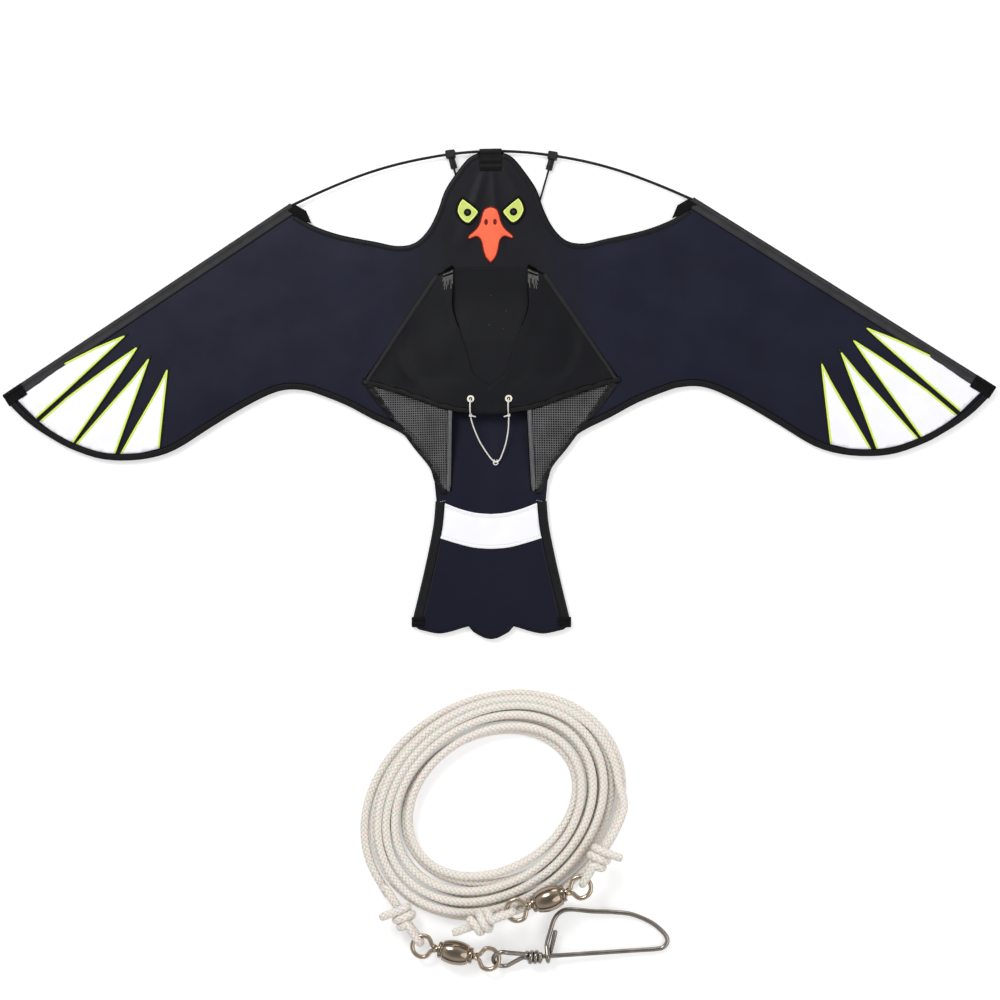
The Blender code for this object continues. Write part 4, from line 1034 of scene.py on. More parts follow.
@dataclass
class Stitcher:
    """Sews lines of stitches with one Geometry Nodes tree.

    The tree resamples lines at even steps, stands a stitch on each point
    turned along the line, and gives the stitches a finish.
    """

    tree: bpy.types.NodeTree | None = None
    count: int = 0
    jitter: float = 0.12
    seed: int = 7

    def build(self) -> bpy.types.NodeTree:
        """Builds the tree once and returns it."""
        if self.tree:
            return self.tree
        made = Tree(bpy.data.node_groups.new("stitch_lines", "GeometryNodeTree"))
        made.sockets("INPUT", {
            "Geometry": ("Geometry", None), "Step": ("Float", 0.0033),
            "Length": ("Float", 0.0022), "Thick": ("Float", 0.0004),
            "Jitter": ("Float", self.jitter), "Seed": ("Int", self.seed),
            "Material": ("Material", None)})
        made.sockets("OUTPUT", {"Geometry": ("Geometry", None)})
        source = made.add("NodeGroupInput").outputs
        curve = made.add("GeometryNodeMeshToCurve", {"Mesh": source["Geometry"]})
        points = made.add("GeometryNodeCurveToPoints", mode="LENGTH")
        made.put(points.inputs["Curve"], curve.outputs["Curve"])
        made.put(points.inputs["Length"], source["Step"])
        stitch = made.add("GeometryNodeMeshCylinder", {"Vertices": 6, "Radius": 0.5, "Depth": 1.0})
        lying = made.add("GeometryNodeTransform", {"Geometry": stitch.outputs["Mesh"],
                                                   "Rotation": (0.0, pi / 2, 0.0)})
        align = made.add("FunctionNodeAlignEulerToVector",
                         {"Vector": points.outputs["Tangent"]}, axis="X")
        spread = made.add("FunctionNodeRandomValue", {
            2: made.math("SUBTRACT", 1.0, source["Jitter"]),
            3: made.math("ADD", 1.0, source["Jitter"]), "Seed": source["Seed"]},
            data_type="FLOAT")
        longer = made.math("MULTIPLY", source["Length"], spread.outputs[1])
        scale = made.add("ShaderNodeCombineXYZ", {"X": longer, "Y": source["Thick"],
                                                  "Z": source["Thick"]})
        stand = made.add("GeometryNodeInstanceOnPoints", {
            "Points": points.outputs["Points"], "Instance": lying.outputs["Geometry"],
            "Rotation": align.outputs["Rotation"], "Scale": scale.outputs[0]})
        real = made.add("GeometryNodeRealizeInstances", {"Geometry": stand.outputs["Instances"]})
        finish = made.add("GeometryNodeSetMaterial", {"Geometry": real.outputs["Geometry"],
                                                      "Material": source["Material"]})
        made.add("NodeGroupOutput", {"Geometry": finish.outputs["Geometry"]})
        self.tree = made.tree
        return self.tree

    def sew(self, name: str, lines: Sequence[Line], kind: Stitch) -> Object:
        """Sews stitches along lines.

        Args:
            name: the piece's name.
            lines: the lines, each a list of points at the thread's height.
            kind: the kind of stitch.

        Returns:
            The stitches as one mesh, which rides on the kite.
        """
        verts, edges = [], []
        for line in lines:
            start = len(verts)
            verts += [tuple(p) for p in line]
            edges += [(start + i, start + i + 1) for i in range(len(line) - 1)]
        data = bpy.data.meshes.new(name)
        data.from_pydata(verts, edges, [])
        obj = link(name, data)
        self.count += 1
        modifier = obj.modifiers.new("stitches", "NODES")
        modifier.node_group = self.build()
        values = {"Step": kind.length + kind.gap, "Length": kind.length, "Thick": kind.thick,
                  "Jitter": self.jitter, "Seed": self.seed + self.count,
                  "Material": WARDROBE.get(kind.finish)}
        for item in modifier.node_group.interface.items_tree:
            if item.in_out == "INPUT" and item.name in values:
                modifier[item.identifier] = values[item.name]
        made = apply_modifiers(obj)
        if not made.data.materials:
            made.data.materials.append(WARDROBE.get(kind.finish))
        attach(made, Body.KITE.value)
        return made


STITCHER = Stitcher()


def settle(obj: Object, finish: object, body: Body, slot: str, *nodes: str) -> Object:
    """Dresses a piece, lets it ride on a body and hides the CAD nodes it replaces.

    Args:
        obj: the piece.
        finish: its finish.
        body: the body it rides on.
        slot: the record's material slot; not used.
        nodes: CAD nodes it stands for.

    Returns:
        The piece.
    """
    WARDROBE.dress(obj, finish)
    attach(obj, body.value)
    if nodes:
        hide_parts(*nodes)
    return obj


def declare_cord(name: str, finish: BraidFinish, slot: str, path: Line, radius: float,
                 start: Vector, body: Body, nodes: Sequence[str], sides: int, **how: str) -> None:
    """Args:
        name: the piece's name.
        finish: its finish.
        slot: the record's material slot; not used.
        path: its centreline.
        radius: its radius.
        start: where it comes out of what holds it; not used.
        body: the body it rides on.
        nodes: CAD nodes it stands for.
        sides: how many points its section has.
        how: its far end, stiffness and lay; not used.
    """
    cord = settle(cord_piece(name, path, radius, sides), finish, body, slot, *nodes)


@dataclass
class LineSet:
    """The coil of braided cord with its knots, and the metal's places on it."""

    coil_start: float = radians(214)
    coil_tilt: float = radians(27)
    layer_turns: float = 4.5
    extra_turns: float = 0.07
    outer: Pair = (0.1656, 0.1330)
    inner: Pair = (0.1045, 0.0795)
    spread: float = 0.0050
    middle_px: Pair = (4.6, 806.8)
    inner_middle_px: Pair = (1.0, 799.5)
    points_a_turn: int = 56
    upper_lean: float = radians(8)
    wander: float = 0.0014
    cord_radius: float = 0.0049
    barrel_length: float = 0.0420
    barrel_radius: float = 0.0148
    eye_length: float = 0.0340
    eye_width: float = 0.0300
    swivel_1_px: Pair = (58.2, 892.0)
    swivel_1_turn: float = radians(20)
    swivel_2_px: Pair = (-35.0, 947.6)
    swivel_2_turn: float = radians(-10)
    knot_1_heading: float = radians(58)
    knot_2_heading: float = radians(123)
    knot_turns: int = 2
    knot_dip: float = 0.0190
    knot_tail: float = 0.0230
    knot_lead: float = 0.0120
    free_end: float = 0.0300
    coil_lead: float = 0.0160

    @property
    def bend(self) -> float:
        """Returns the radius of an eye's ring."""
        return self.eye_width / 2 - WIRE_RADIUS

    @property
    def centre(self) -> float:
        """Returns how far an eye's ring lies from its swivel's middle."""
        return self.barrel_length / 2 + self.eye_length - WIRE_RADIUS - self.bend

    @property
    def turns(self) -> float:
        """Returns how many turns the coil has."""
        return 2 * self.layer_turns - 0.5 + self.extra_turns

    def oval(self, middle: Pair, radii: Pair, angle: float) -> Vector:
        """Returns a point of the coil's tilted oval."""
        spot = flat(radii[0] * cos(angle), radii[1] * sin(angle))
        spot.rotate(Euler((0.0, 0.0, self.coil_tilt)))
        return spot + PLAN.point(middle)

    def coil_point(self, turns: float) -> Vector:
        """Returns the cord's place after that many turns."""
        after = turns - self.layer_turns
        climb = max(0.0, min(1.0, after / 0.5))
        inward = min(1.0, turns / self.layer_turns)
        if after > 0.5:
            inward = 1.0 - (after - 0.5) / self.layer_turns
        spread = self.spread * (1.0 - max(0.0, min(1.0, 2.0 - 2.0 * abs(after - 0.25))))
        inner = (self.inner[0] + spread, self.inner[1] + spread)
        calm = max(0.0, min(1.0, turns / 0.35, (self.turns - turns) / 0.6))
        lean = self.upper_lean * climb * calm
        angle = self.coil_start - 2 * pi * turns - self.coil_tilt - lean
        place = self.oval(self.middle_px, self.outer, angle).lerp(
            self.oval(self.inner_middle_px, inner, angle), max(0.0, inward))
        middle = PLAN.point(self.middle_px)
        spoke = place - middle
        spoke.rotate(Euler((0.0, 0.0, lean)))
        wander = self.wander * calm * (sin(2 * pi * turns * 0.86 + 0.9)
                                       + 0.6 * sin(2 * pi * turns * 2.13 + 2.0))
        place = middle + spoke + spoke.normalized() * wander
        place.z = LINE_RADIUS + climb * LINE_PITCH
        return place

    def knot_points(self, lead: float, tail: float) -> list[Vector]:
        """Returns a tied cord's points: X toward the eye's wire, at zero."""
        wire, dip = WIRE_RADIUS + LINE_RADIUS + GAP, -self.knot_dip
        back = dip - self.knot_turns * LINE_PITCH
        points = [flat(back - lead, 0.0), flat(back - lead / 2, 0.0)]
        points += [flat(back + LINE_PITCH * n / 2, 0.0) for n in range(self.knot_turns * 2)]
        points += [flat(dip, 0.0), flat(dip / 2, 0.0, -wire * 0.6)]
        points += [flat(wire * sin(pi * n / 8), 0.0, -wire * cos(pi * n / 8)) for n in range(9)]
        points.append(flat(dip / 2, 0.0, (wire + LINE_PITCH) / 2))
        for n in range(self.knot_turns * 12 + 1):
            angle = 2 * pi * n / 12
            points.append(flat(dip - LINE_PITCH * n / 12, LINE_PITCH * sin(angle),
                               LINE_PITCH * cos(angle)))
        end = points[-1]
        return points + [end + flat(-LINE_RADIUS / 2, tail / 2),
                         end + flat(-LINE_RADIUS, tail, -LINE_RADIUS / 2)]

    def frames(self) -> list[Matrix]:
        """Returns the frames of both swivels."""
        lift = 2 * LINE_RADIUS + LINE_PITCH + GAP + self.barrel_radius
        return [Matrix.Translation(PLAN.point(px) + UP * height) @ Matrix.Rotation(turn, 4, "Z")
                for px, height, turn in (
                    (self.swivel_1_px, lift, self.swivel_1_turn),
                    (self.swivel_2_px, self.barrel_radius + GAP, self.swivel_2_turn))]

    def knot(self, place: Matrix, side: int, heading: float, lead: float, tail: float,
             mirrored: bool = False) -> tuple[Vector, list[Vector]]:
        """Ties a knot to an eye.

        Args:
            place: the swivel's frame.
            side: which of its eyes.
            heading: the cord's direction from the eye.
            lead: how far the cord runs straight before the knot.
            tail: the length of its cut end.
            mirrored: whether the knot is wound the other way.

        Returns:
            The place on the eye's wire and the knot's points, standing part first.
        """
        contact = place @ flat(side * self.centre, 0.0) + self.heading(heading) * self.bend
        turned = Matrix.Translation(contact) @ Matrix.Rotation(heading + pi, 4, "Z")
        hand = -1 if mirrored else 1
        return contact, [turned @ flat(p.x, hand * p.y, p.z) for p in self.knot_points(lead, tail)]

    def build(self) -> None:
        """Builds the cord and its free end."""
        first, second = self.frames()
        contact_2, start_knot = self.knot(second, -1, self.knot_2_heading, self.knot_lead,
                                          self.knot_tail, True)
        _, end_knot = self.knot(first, 1, self.knot_1_heading, self.knot_lead, self.knot_tail)
        contact_end, free = self.knot(first, -1, self.swivel_1_turn + pi, self.free_end,
                                      self.knot_tail / 2)

        start, start_along = start_knot[0], self.heading(self.knot_2_heading + pi)
        end, end_along = end_knot[0], self.heading(self.knot_1_heading + pi)
        count = round(self.turns * self.points_a_turn)
        wound = [self.coil_point(self.turns * n / count) for n in range(count + 1)]
        straight = 2 * LINE_RADIUS
        before = [start, start - start_along * straight]
        first_turn = self.coil_point(0.0)
        bend = first_turn - (self.coil_point(0.02) - first_turn).normalized() * self.coil_lead
        into = smooth([before[1] - start_along * straight, bend, wound[0], wound[1]], 8)[:-8]
        after = [end - end_along * straight, end]
        rise = smooth([wound[-3], wound[-1], wound[-1].lerp(after[0], 0.5) + flat(straight, 0.0),
                       after[0], after[1]], 8)[8:-8]
        whole = (start_knot[:0:-1] + before + into[:-1] + wound[:-1] + rise + [after[1]]
                 + end_knot[1:])
        whole = even(smooth(whole, 4), 0.0024)
        for p in whole:
            p.z = max(p.z, self.cord_radius)
        declare_cord("line_cord", LINE_BRAID, "line_cord", whole, self.cord_radius,
                     whole[0].lerp(contact_2, 0.5), Body.LINE,
                     ("line_coil", "line_knot_1", "line_knot_2"), 16,
                     far_end="knot", stiffness="medium", lay="coiled")
        short = even(smooth(free[::-1], 4), 0.0024)
        declare_cord("line_free_end", LINE_BRAID, "line_cord", short, self.cord_radius,
                     short[0].lerp(contact_end, 0.5), Body.LINE, ("line_knot_end",), 16,
                     far_end="bare", stiffness="medium", lay="loose")

    @staticmethod
    def heading(angle: float) -> Vector:
        """Returns the level direction of an angle."""
        return flat(cos(angle), sin(angle))


@dataclass
class Metal:
    """The swivels' turned barrels, their bent eyes and the snap's wire."""

    line: LineSet
    shoulder: float = 0.0162
    collar: float = 0.0098
    bore: float = 0.0056
    twist: float = 0.0026
    wire_radius: float = 0.0028
    neck: Pair = (0.0195, 0.0272)
    steps: int = 52
    snap_size: Pair = (0.2080, 0.0540)
    snap_eye: Pair = (0.0400, 0.0290)
    snap_wraps: int = 3
    snap_link: float = 0.0067
    snap_turn: float = radians(4)
    snap_pitch: float = radians(3)
    snap_tilt: float = radians(40)
    wind: float = 0.0057
    snap_shares: tuple[Pair, ...] = (
        (0.80, 0.0), (0.93, 0.0), (0.975, 0.03), (1.0, 0.16), (0.985, 0.33), (0.916, 0.585),
        (0.81, 0.79), (0.70, 0.87), (0.585, 0.915), (0.46, 0.99), (0.405, 0.95), (0.365, 0.80),
        (0.335, 0.52), (0.312, 0.26))
    hook_shares: tuple[tuple[float, float, float], ...] = (
        (0.0, 0.75, 0.75), (0.0, 0.0, 1.06), (0.0, -0.75, 0.75), (0.0, -1.06, 0.0),
        (0.0004, -0.75, -0.75), (0.0020, 0.0, -1.06), (0.0038, 0.9, -0.9),
        (0.0070, 2.6, -0.5), (0.0116, 5.2, -0.1))

    def build(self) -> None:
        """Builds both swivels and the snap."""
        first, second = self.line.frames()
        self.swivel("swivel_1", first, (Body.TURN_1, Body.LINE, Body.LINE))
        self.swivel("swivel_2", second, (Body.TURN_2, Body.LINE, Body.FREE_EYE))
        self.snap(second)

    def swivel(self, name: str, place: Matrix, bodies: Sequence[Body]) -> None:
        """Builds one swivel: a turned barrel and two twisted wire eyes.

        Args:
            name: the swivel's name in the CAD.
            place: its frame, X along it.
            bodies: what the barrel, the left and the right eye ride on.
        """
        settle(self.turned(name + "_turned", place), BARREL_NICKEL, bodies[0], "nickel",
               name + "_barrel")
        for (side, word), body in zip(SIDES, bodies[1:]):
            node = name + "_eye_" + word
            path = [place @ flat(side * p.x, p.y, p.z) for p in self.eye()]
            settle(self.wire(node + "_wire", path), EYE_NICKEL, body, "nickel", node)

    def profile(self) -> list[Pair]:
        """Returns the barrel's closed profile as pairs of place along and radius."""
        half, low, rim = self.line.barrel_length / 2, self.shoulder, self.collar
        outer = [(half - 0.0003, self.bore), (half, self.bore + 0.0005), (half, rim - 0.0012),
                 (half - 0.0004, rim - 0.0003), (half - 0.0012, rim), (low + 0.0014, rim),
                 (low + 0.0006, rim - 0.0003), (low + 0.0002, rim - 0.0006),
                 (low - 0.0002, rim + 0.0002)]
        for n in range(9):
            along = low * (0.97 - 0.97 * n / 9)
            outer.append((along, self.line.barrel_radius * sqrt(1 - (along / low / 1.52) ** 2)))
        return outer + [(0.0, self.line.barrel_radius)] + [(-x, r) for x, r in reversed(outer)]

    def turned(self, name: str, place: Matrix) -> Object:
        """Turns the barrel's profile round its length."""
        profile = self.profile()
        points = [place @ flat(x, r * c, r * s) for c, s in circle(self.steps) for x, r in profile]
        faces = [(a, d, c, b) for a, b, c, d in band_faces(self.steps, len(profile), True)]
        return mesh_piece(name, points, faces)

    def eye(self) -> list[Vector]:
        """Returns one eye's wire in the swivel's frame: leg, ring, leg."""
        bend, centre = self.line.bend, self.line.centre
        leg = []
        for n in range(9):
            angle = -pi + pi * n / 8
            leg.append(flat(self.neck[0] + (self.neck[1] - self.neck[0]) * n / 8,
                            self.twist * cos(angle), self.twist * sin(angle)))
        leg += [flat(0.0293, 0.0039, 0.0004), flat(0.0318, 0.0080)]
        ring = [flat(centre + bend * cos(radians(a)), bend * sin(radians(a)))
                for a in range(116, -117, -8)]
        return leg + ring + [flat(p.x, -p.y, -p.z) for p in reversed(leg)]

    def snap(self, second: Matrix) -> None:
        """Builds the snap from one wire: wraps, eye, arm, nose, back and hook."""
        reach = self.line.centre + self.line.bend - self.snap_link
        place = (Matrix.Translation(second @ flat(reach, 0.0))
                 @ Matrix.Rotation(self.snap_turn, 4, "Z")
                 @ Matrix.Rotation(self.snap_pitch, 4, "Y"))
        wind, first = self.wind, self.snap_eye[0]
        end = first + wind * self.snap_wraps
        steps = 20
        total = self.snap_wraps * steps
        path = []
        for n in range(total + 1):
            angle = self.snap_tilt + 2 * pi * (n - total) / steps
            path.append(flat(end - wind * n / steps, wind * cos(angle), wind * sin(angle)))
        across = flat(0.0, cos(self.snap_tilt), sin(self.snap_tilt))
        half = self.snap_eye[1] / 2 - WIRE_RADIUS
        eye = [path[-1]]
        for n in range(25):
            angle = radians(62) + radians(236) * n / 24
            eye.append(flat(half + half * cos(angle), 0.0) + across * half * sin(angle))
        eye += [flat(x, 0.0) for x in (first - wind, first, end, end + wind)]
        shape = [flat(x * self.snap_size[0], y * self.snap_size[1]) for x, y in self.snap_shares]
        foot = shape[-1]
        shape += [flat(foot.x + x, y * wind, z * wind) for x, y, z in self.hook_shares]
        path = path[:-1] + smooth(eye, 4)[:-1] + smooth([eye[-1]] + shape, 6)[1:]
        settle(self.wire("snap_wire", [place @ p for p in path]), NICKEL, Body.SNAP, "nickel",
               "snap")

    def wire(self, name: str, path: Line) -> Object:
        """Makes a bent wire with cut ends."""
        fine = even(smooth(path, 3), 0.0010)
        return sweep(fine, round_section(self.wire_radius, 14, True, len(fine)), name=name)


@dataclass
class Bridle:
    """The thin cord between the keel's eyelets, with its ties and loop."""

    radius: float = 0.0008
    tie_radius: float = 0.0096
    knot_radius: float = 0.0021
    tie_tail: float = 0.0060
    ring_radius: float = 0.0026
    ring_wire: float = 0.0007
    loop_tail: float = 0.0030
    eyelet_px: Pair = (18.9, 401.0)
    route_px: tuple[Pair, ...] = (
        (-18.9, 420.5), (-17.0, 427.0), (-14.0, 435.0), (-10.0, 444.0), (-3.5, 454.5),
        (1.5, 461.0), (5.5, 463.4), (9.0, 461.0), (12.5, 453.5), (16.0, 443.0),
        (18.2, 431.0), (18.9, 420.5))

    def build(self) -> None:
        knots = [self.tie(side, word) for side, word in SIDES]
        low = SAIL_TOP + GAP + self.ring_radius + self.ring_wire
        route = PLAN.line(self.route_px)
        drop = flat(0.0, self.knot_radius + GAP)
        route[0], route[-1] = knots[0] - drop, knots[1] - drop
        bottom, top = min(p.y for p in route), route[0].y
        for p in route:
            p.z = low + (KEEL_HEIGHT - low) * (p.y - bottom) / (top - bottom)
        path = even(smooth(route, 8), 0.0012)
        declare_cord("bridle_line", BRIDLE_BRAID, "cream_cord", path, self.radius, path[0],
                     Body.BRIDLE, ("bridle_cord",), 10,
                     far_end="object", stiffness="limp", lay="hanging")
        self.loop(min(path, key=lambda p: p.y))

    def tie(self, side: int, word: str) -> Vector:
        """Builds one tie through its eyelet and returns its knot's middle."""
        place = PLAN.point(self.eyelet_px, side)
        centre = flat(place.x, place.y - self.tie_radius, KEEL_HEIGHT)
        ring = [centre + flat(0.0, self.tie_radius * c, self.tie_radius * s)
                for c, s in circle(40)]
        knot = flat(centre.x, centre.y - self.tie_radius - self.radius, centre.z)
        tail = knot + flat(-side * self.tie_tail, -self.tie_tail / 4, -self.tie_tail / 4)
        self.knotted("bridle_tie_" + word, ring, self.radius,
                     [(knot, self.knot_radius, tail, self.radius)])
        return knot

    def loop(self, place: Vector) -> None:
        """Builds the small flat loop at the cord's lowest place, with two tails."""
        size = self.ring_radius
        centre = place - flat(0.0, size * 0.45)
        ring = [centre + flat(size * c, size * 0.8 * s) for c, s in circle(24)]
        ends = []
        for side in (-1, 1):
            knot = centre + flat(side * size * 0.9, size * 0.45)
            tail = knot + flat(-side * self.loop_tail * 0.3, self.loop_tail, 0.0006)
            ends.append((knot, 1.6 * self.ring_wire, tail, self.ring_wire * 0.9))
        self.knotted("bridle_loop", ring, self.ring_wire, ends)

    def knotted(self, node: str, ring: Line, wire: float,
                ends: Sequence[tuple[Vector, float, Vector, float]]) -> None:
        """Builds a ring of cord with its knots and tails.

        Args:
            node: the CAD node it stands for.
            ring: the ring's line.
            wire: the cord's radius.
            ends: each knot's place and radius, its tail's end and the tail's radius.
        """
        pieces = [cord_piece("ring", ring, wire, 10, closed=True)]
        for knot, radius, tail, thin in ends:
            pieces.append(self.lump(knot, radius))
            pieces.append(cord_piece("tail", even([knot, tail], 0.001), thin, 10))
        settle(join(node + "_cord", pieces), BRIDLE_BRAID, Body.BRIDLE, "cream_cord", node)

    @staticmethod
    def lump(place: Vector, radius: float) -> Object:
        """Builds a knot as a short tight winding of the cord."""
        wire = radius * 0.42
        path = []
        for n in range(49):
            angle = 2 * pi * n / 14
            share = n / 48 - 0.5
            size = (radius - wire) * (1.0 - 1.2 * share * share)
            path.append(place + flat(size * cos(angle), share * 2.2 * (radius - wire),
                                     size * sin(angle)))
        return cord_piece("knot", path, wire, 8)


@dataclass
class Sail:
    """The sail with its hems, sleeves, pockets and head tab."""

    leading_px: tuple[Pair, ...] = ((202.0, 202.0), (496.3, 393.0))
    neck_px: tuple[Pair, ...] = (
        (197.0, 213.5), (182.0, 223.0), (164.0, 230.5), (145.0, 236.0), (115.0, 242.0),
        (94.0, 246.4), (76.0, 243.5), (62.5, 230.5), (53.0, 212.0), (46.0, 192.0),
        (35.0, 175.0), (22.5, 159.4), (11.8, 154.0))
    trailing_px: tuple[Pair, ...] = (
        (489.0, 402.0), (475.0, 416.0), (460.0, 427.5), (443.0, 438.0), (427.0, 446.5),
        (400.0, 456.2), (374.5, 459.2), (345.6, 457.0), (318.5, 448.4), (287.0, 429.0),
        (258.0, 411.4), (232.0, 397.6), (215.0, 390.8), (202.0, 388.8), (190.0, 389.6),
        (178.0, 392.2), (146.0, 404.6), (119.0, 419.0), (89.0, 433.8), (70.0, 450.8),
        (58.5, 469.0), (56.7, 480.0))
    tail_side_px: tuple[Pair, ...] = ((55.5, 502.0), (57.5, 525.0), (63.0, 554.0),
                                      (70.0, 585.0), (79.7, 625.0))
    tail_end_px: tuple[Pair, ...] = (
        (72.0, 629.4), (65.5, 631.0), (52.5, 633.5), (40.0, 631.5), (30.0, 628.4),
        (22.5, 626.3), (18.0, 631.6), (13.0, 634.5), (6.0, 638.0), (0.0, 639.0))
    gusset_px: tuple[Pair, ...] = ((196.5, 203.5), (186.0, 209.5), (180.5, 222.5),
                                   (189.0, 219.5), (200.0, 213.0), (208.0, 209.5))
    spar_row: float = 152.6
    fold_radius: float = 0.00265
    flat_fold: float = 0.00115
    sleeve_width: float = 0.0127
    tip_length: float = 0.0270
    tip_width: float = 0.0165
    tail_sleeve_width: float = 0.0108
    tail_pocket: Pair = (0.0150, 0.0124)
    tail_pocket_px: Pair = (73.0, 623.8)
    head_tab: Pair = (0.0266, 0.0270)
    cap_length: float = 0.008
    step: float = 0.0045
    rim: Pair = (0.0012, 0.0013)
    bead: Pair = (0.0012, 0.0007)

    def leading(self, side: int) -> tuple[Vector, Vector, Vector, Vector]:
        """Returns the sleeve axis' inner and outer end, its direction and the inward one."""
        inner, outer = PLAN.line(self.leading_px, side)
        along = (outer - inner).normalized()
        inward = flat(-side * abs(along.y), -abs(along.x))
        return (inner + inward * self.fold_radius, outer + inward * self.fold_radius,
                along, inward)

    def half(self, side: int) -> dict[str, list[Vector]]:
        """Returns one half's edges, each a smooth line from head to tail."""
        mouth, tip, along, inward = self.leading(side)
        inset = self.fold_radius + GAP
        shift = flat(side * self.flat_fold, 0.0)
        trailing = PLAN.line(self.trailing_px, side)
        tail = [p - shift for p in PLAN.line(self.tail_side_px, side)]
        return {
            "neck": smooth(list(reversed(PLAN.line(self.neck_px, side))), 3),
            "front": [mouth + inward * inset,
                      tip + inward * inset - along * (TAPE + 3 * GAP)],
            "trailing": smooth(trailing, 3),
            "tail": smooth(tail, 3),
            "end": smooth(PLAN.line(self.tail_end_px[:6], side), 3)
            + smooth(PLAN.line(self.tail_end_px[6:], side), 3),
        }

    def outline(self) -> Outline:
        """Returns the whole outline."""
        halves = []
        for side in (1, -1):
            parts = self.half(side)
            halves.append([p for key in ("neck", "front", "trailing", "tail", "end")
                           for p in parts[key]])
        return Outline(halves[0] + list(reversed(halves[1][:-1])))

    def build(self, relief: Relief) -> None:
        """Builds all pieces of the sail."""
        cloth = fill("sail_cloth", relief.sail, relief, self.step, 0.0, CLOTH)
        settle(cloth, SATIN, Body.KITE, "satin", "sail")
        self.hems(relief)
        for side, word in SIDES:
            self.sleeve(side, word, relief)
            self.tail_edge(side, word)
        self.tab()

    def hems(self, relief: Relief) -> None:
        """Builds the bound hems: flat tape on the face and a round dark edge."""
        wide, narrow, edges, seams = [], [], [], []
        for side in (1, -1):
            parts = self.half(side)
            trailing = parts["trailing"]
            wide.append(tape_along("hem", self.inset_line(trailing, 0.0036, side), relief,
                                   0.0078, 0.0018, CLOTH / 2 + 0.00085))
            edges.append(tape_along("edge", self.inset_line(trailing, 0.0071, side), relief,
                                    0.0011, 0.0010, CLOTH / 2 + 0.0014))
            narrow.append(tape_along("hem", self.inset_line(parts["neck"], 0.0034, side),
                                     relief, 0.0056, 0.0007, CLOTH / 2 + 0.0002))
            for end in (parts["end"][:16], parts["end"][16:]):
                wide.append(tape_along("hem", self.inset_line(end, 0.0010, side), relief,
                                       0.0024, 0.0008, CLOTH / 2 + 0.0003))
            for line, depth in ((trailing, 0.0002), (parts["neck"], 0.0004)):
                edges.append(tape_along("edge", self.inset_line(line, depth, side), relief,
                                        0.0016, 0.0016, 0.0))
            for depth in (0.0016, 0.0058):
                seams.append(relief.height(even(self.inset_line(trailing, depth, side), 0.003),
                                           CLOTH / 2 + 0.00180))
            seams.append(relief.height(even(self.inset_line(parts["neck"], 0.0056, side),
                                            0.003), CLOTH / 2 + 0.00060))
        settle(join("sail_hems", wide), HEM, Body.KITE, "binding")
        settle(join("neck_hems", narrow), SATIN_HEM, Body.KITE, "satin")
        settle(join("sail_edges", edges), EDGE_AND_SHADE_LINE, Body.KITE, "binding")
        STITCHER.sew("hem_stitches", seams, FINE_STITCH)

    @staticmethod
    def inset_line(line: Line, depth: float, side: int) -> list[Vector]:
        """Moves a line sideways: inward for a positive depth on lines that run to the tail."""
        moved = []
        last = len(line) - 1
        for i, p in enumerate(line):
            along = (line[min(i + 1, last)] - line[max(i - 1, 0)]).normalized()
            normal = flat(-along.y, along.x) * (-side)
            moved.append(p + normal * depth)
        return moved

    def fold(self, width: float, radius: float, wall: float, opening: float,
             pucker: float = 0.0) -> Callable[[float, int], Sequence[Pair]]:
        """Returns the section of tape folded round a rod, with a soft flap.

        Args:
            width: the fold's whole width.
            radius: the fold's outer radius.
            wall: the tape's thickness.
            opening: the gap between the flaps.
            pucker: how far the upper flap ripples along the seam.

        Returns:
            The section, for sweep().
        """
        bore = radius - wall
        outer = opening / 2 + wall
        end = width - radius
        start = atan2(outer, (radius * radius - outer * outer) ** 0.5)
        inner = atan2(opening / 2, (bore * bore - opening * opening / 4) ** 0.5)
        steps = 16

        def section(share: float, i: int) -> Sequence[Pair]:
            """Gives the folded section at one ring."""
            wave = pucker * (0.5 + 0.5 * sin(i * 1.1) * sin(i * 0.37 + 0.8))
            pairs = [(end, outer), (end * 0.75 + radius * 0.25, outer + wave * 0.7),
                     (end * 0.4 + radius * 0.6, outer + wave)]
            for n in range(steps + 1):
                angle = start + (2 * pi - 2 * start) * n / steps
                pairs.append((radius * cos(angle), radius * sin(angle)))
            pairs.append((end, -outer))
            pairs.append((end, -opening / 2))
            for n in range(steps + 1):
                angle = 2 * pi - inner - (2 * pi - 2 * inner) * n / steps
                pairs.append((bore * cos(angle), bore * sin(angle)))
            pairs.append((end * 0.4 + radius * 0.6, opening / 2 + wave))
            pairs.append((end * 0.75 + radius * 0.25, opening / 2 + wave * 0.7))
            pairs.append((end, opening / 2))
            return pairs

        return section

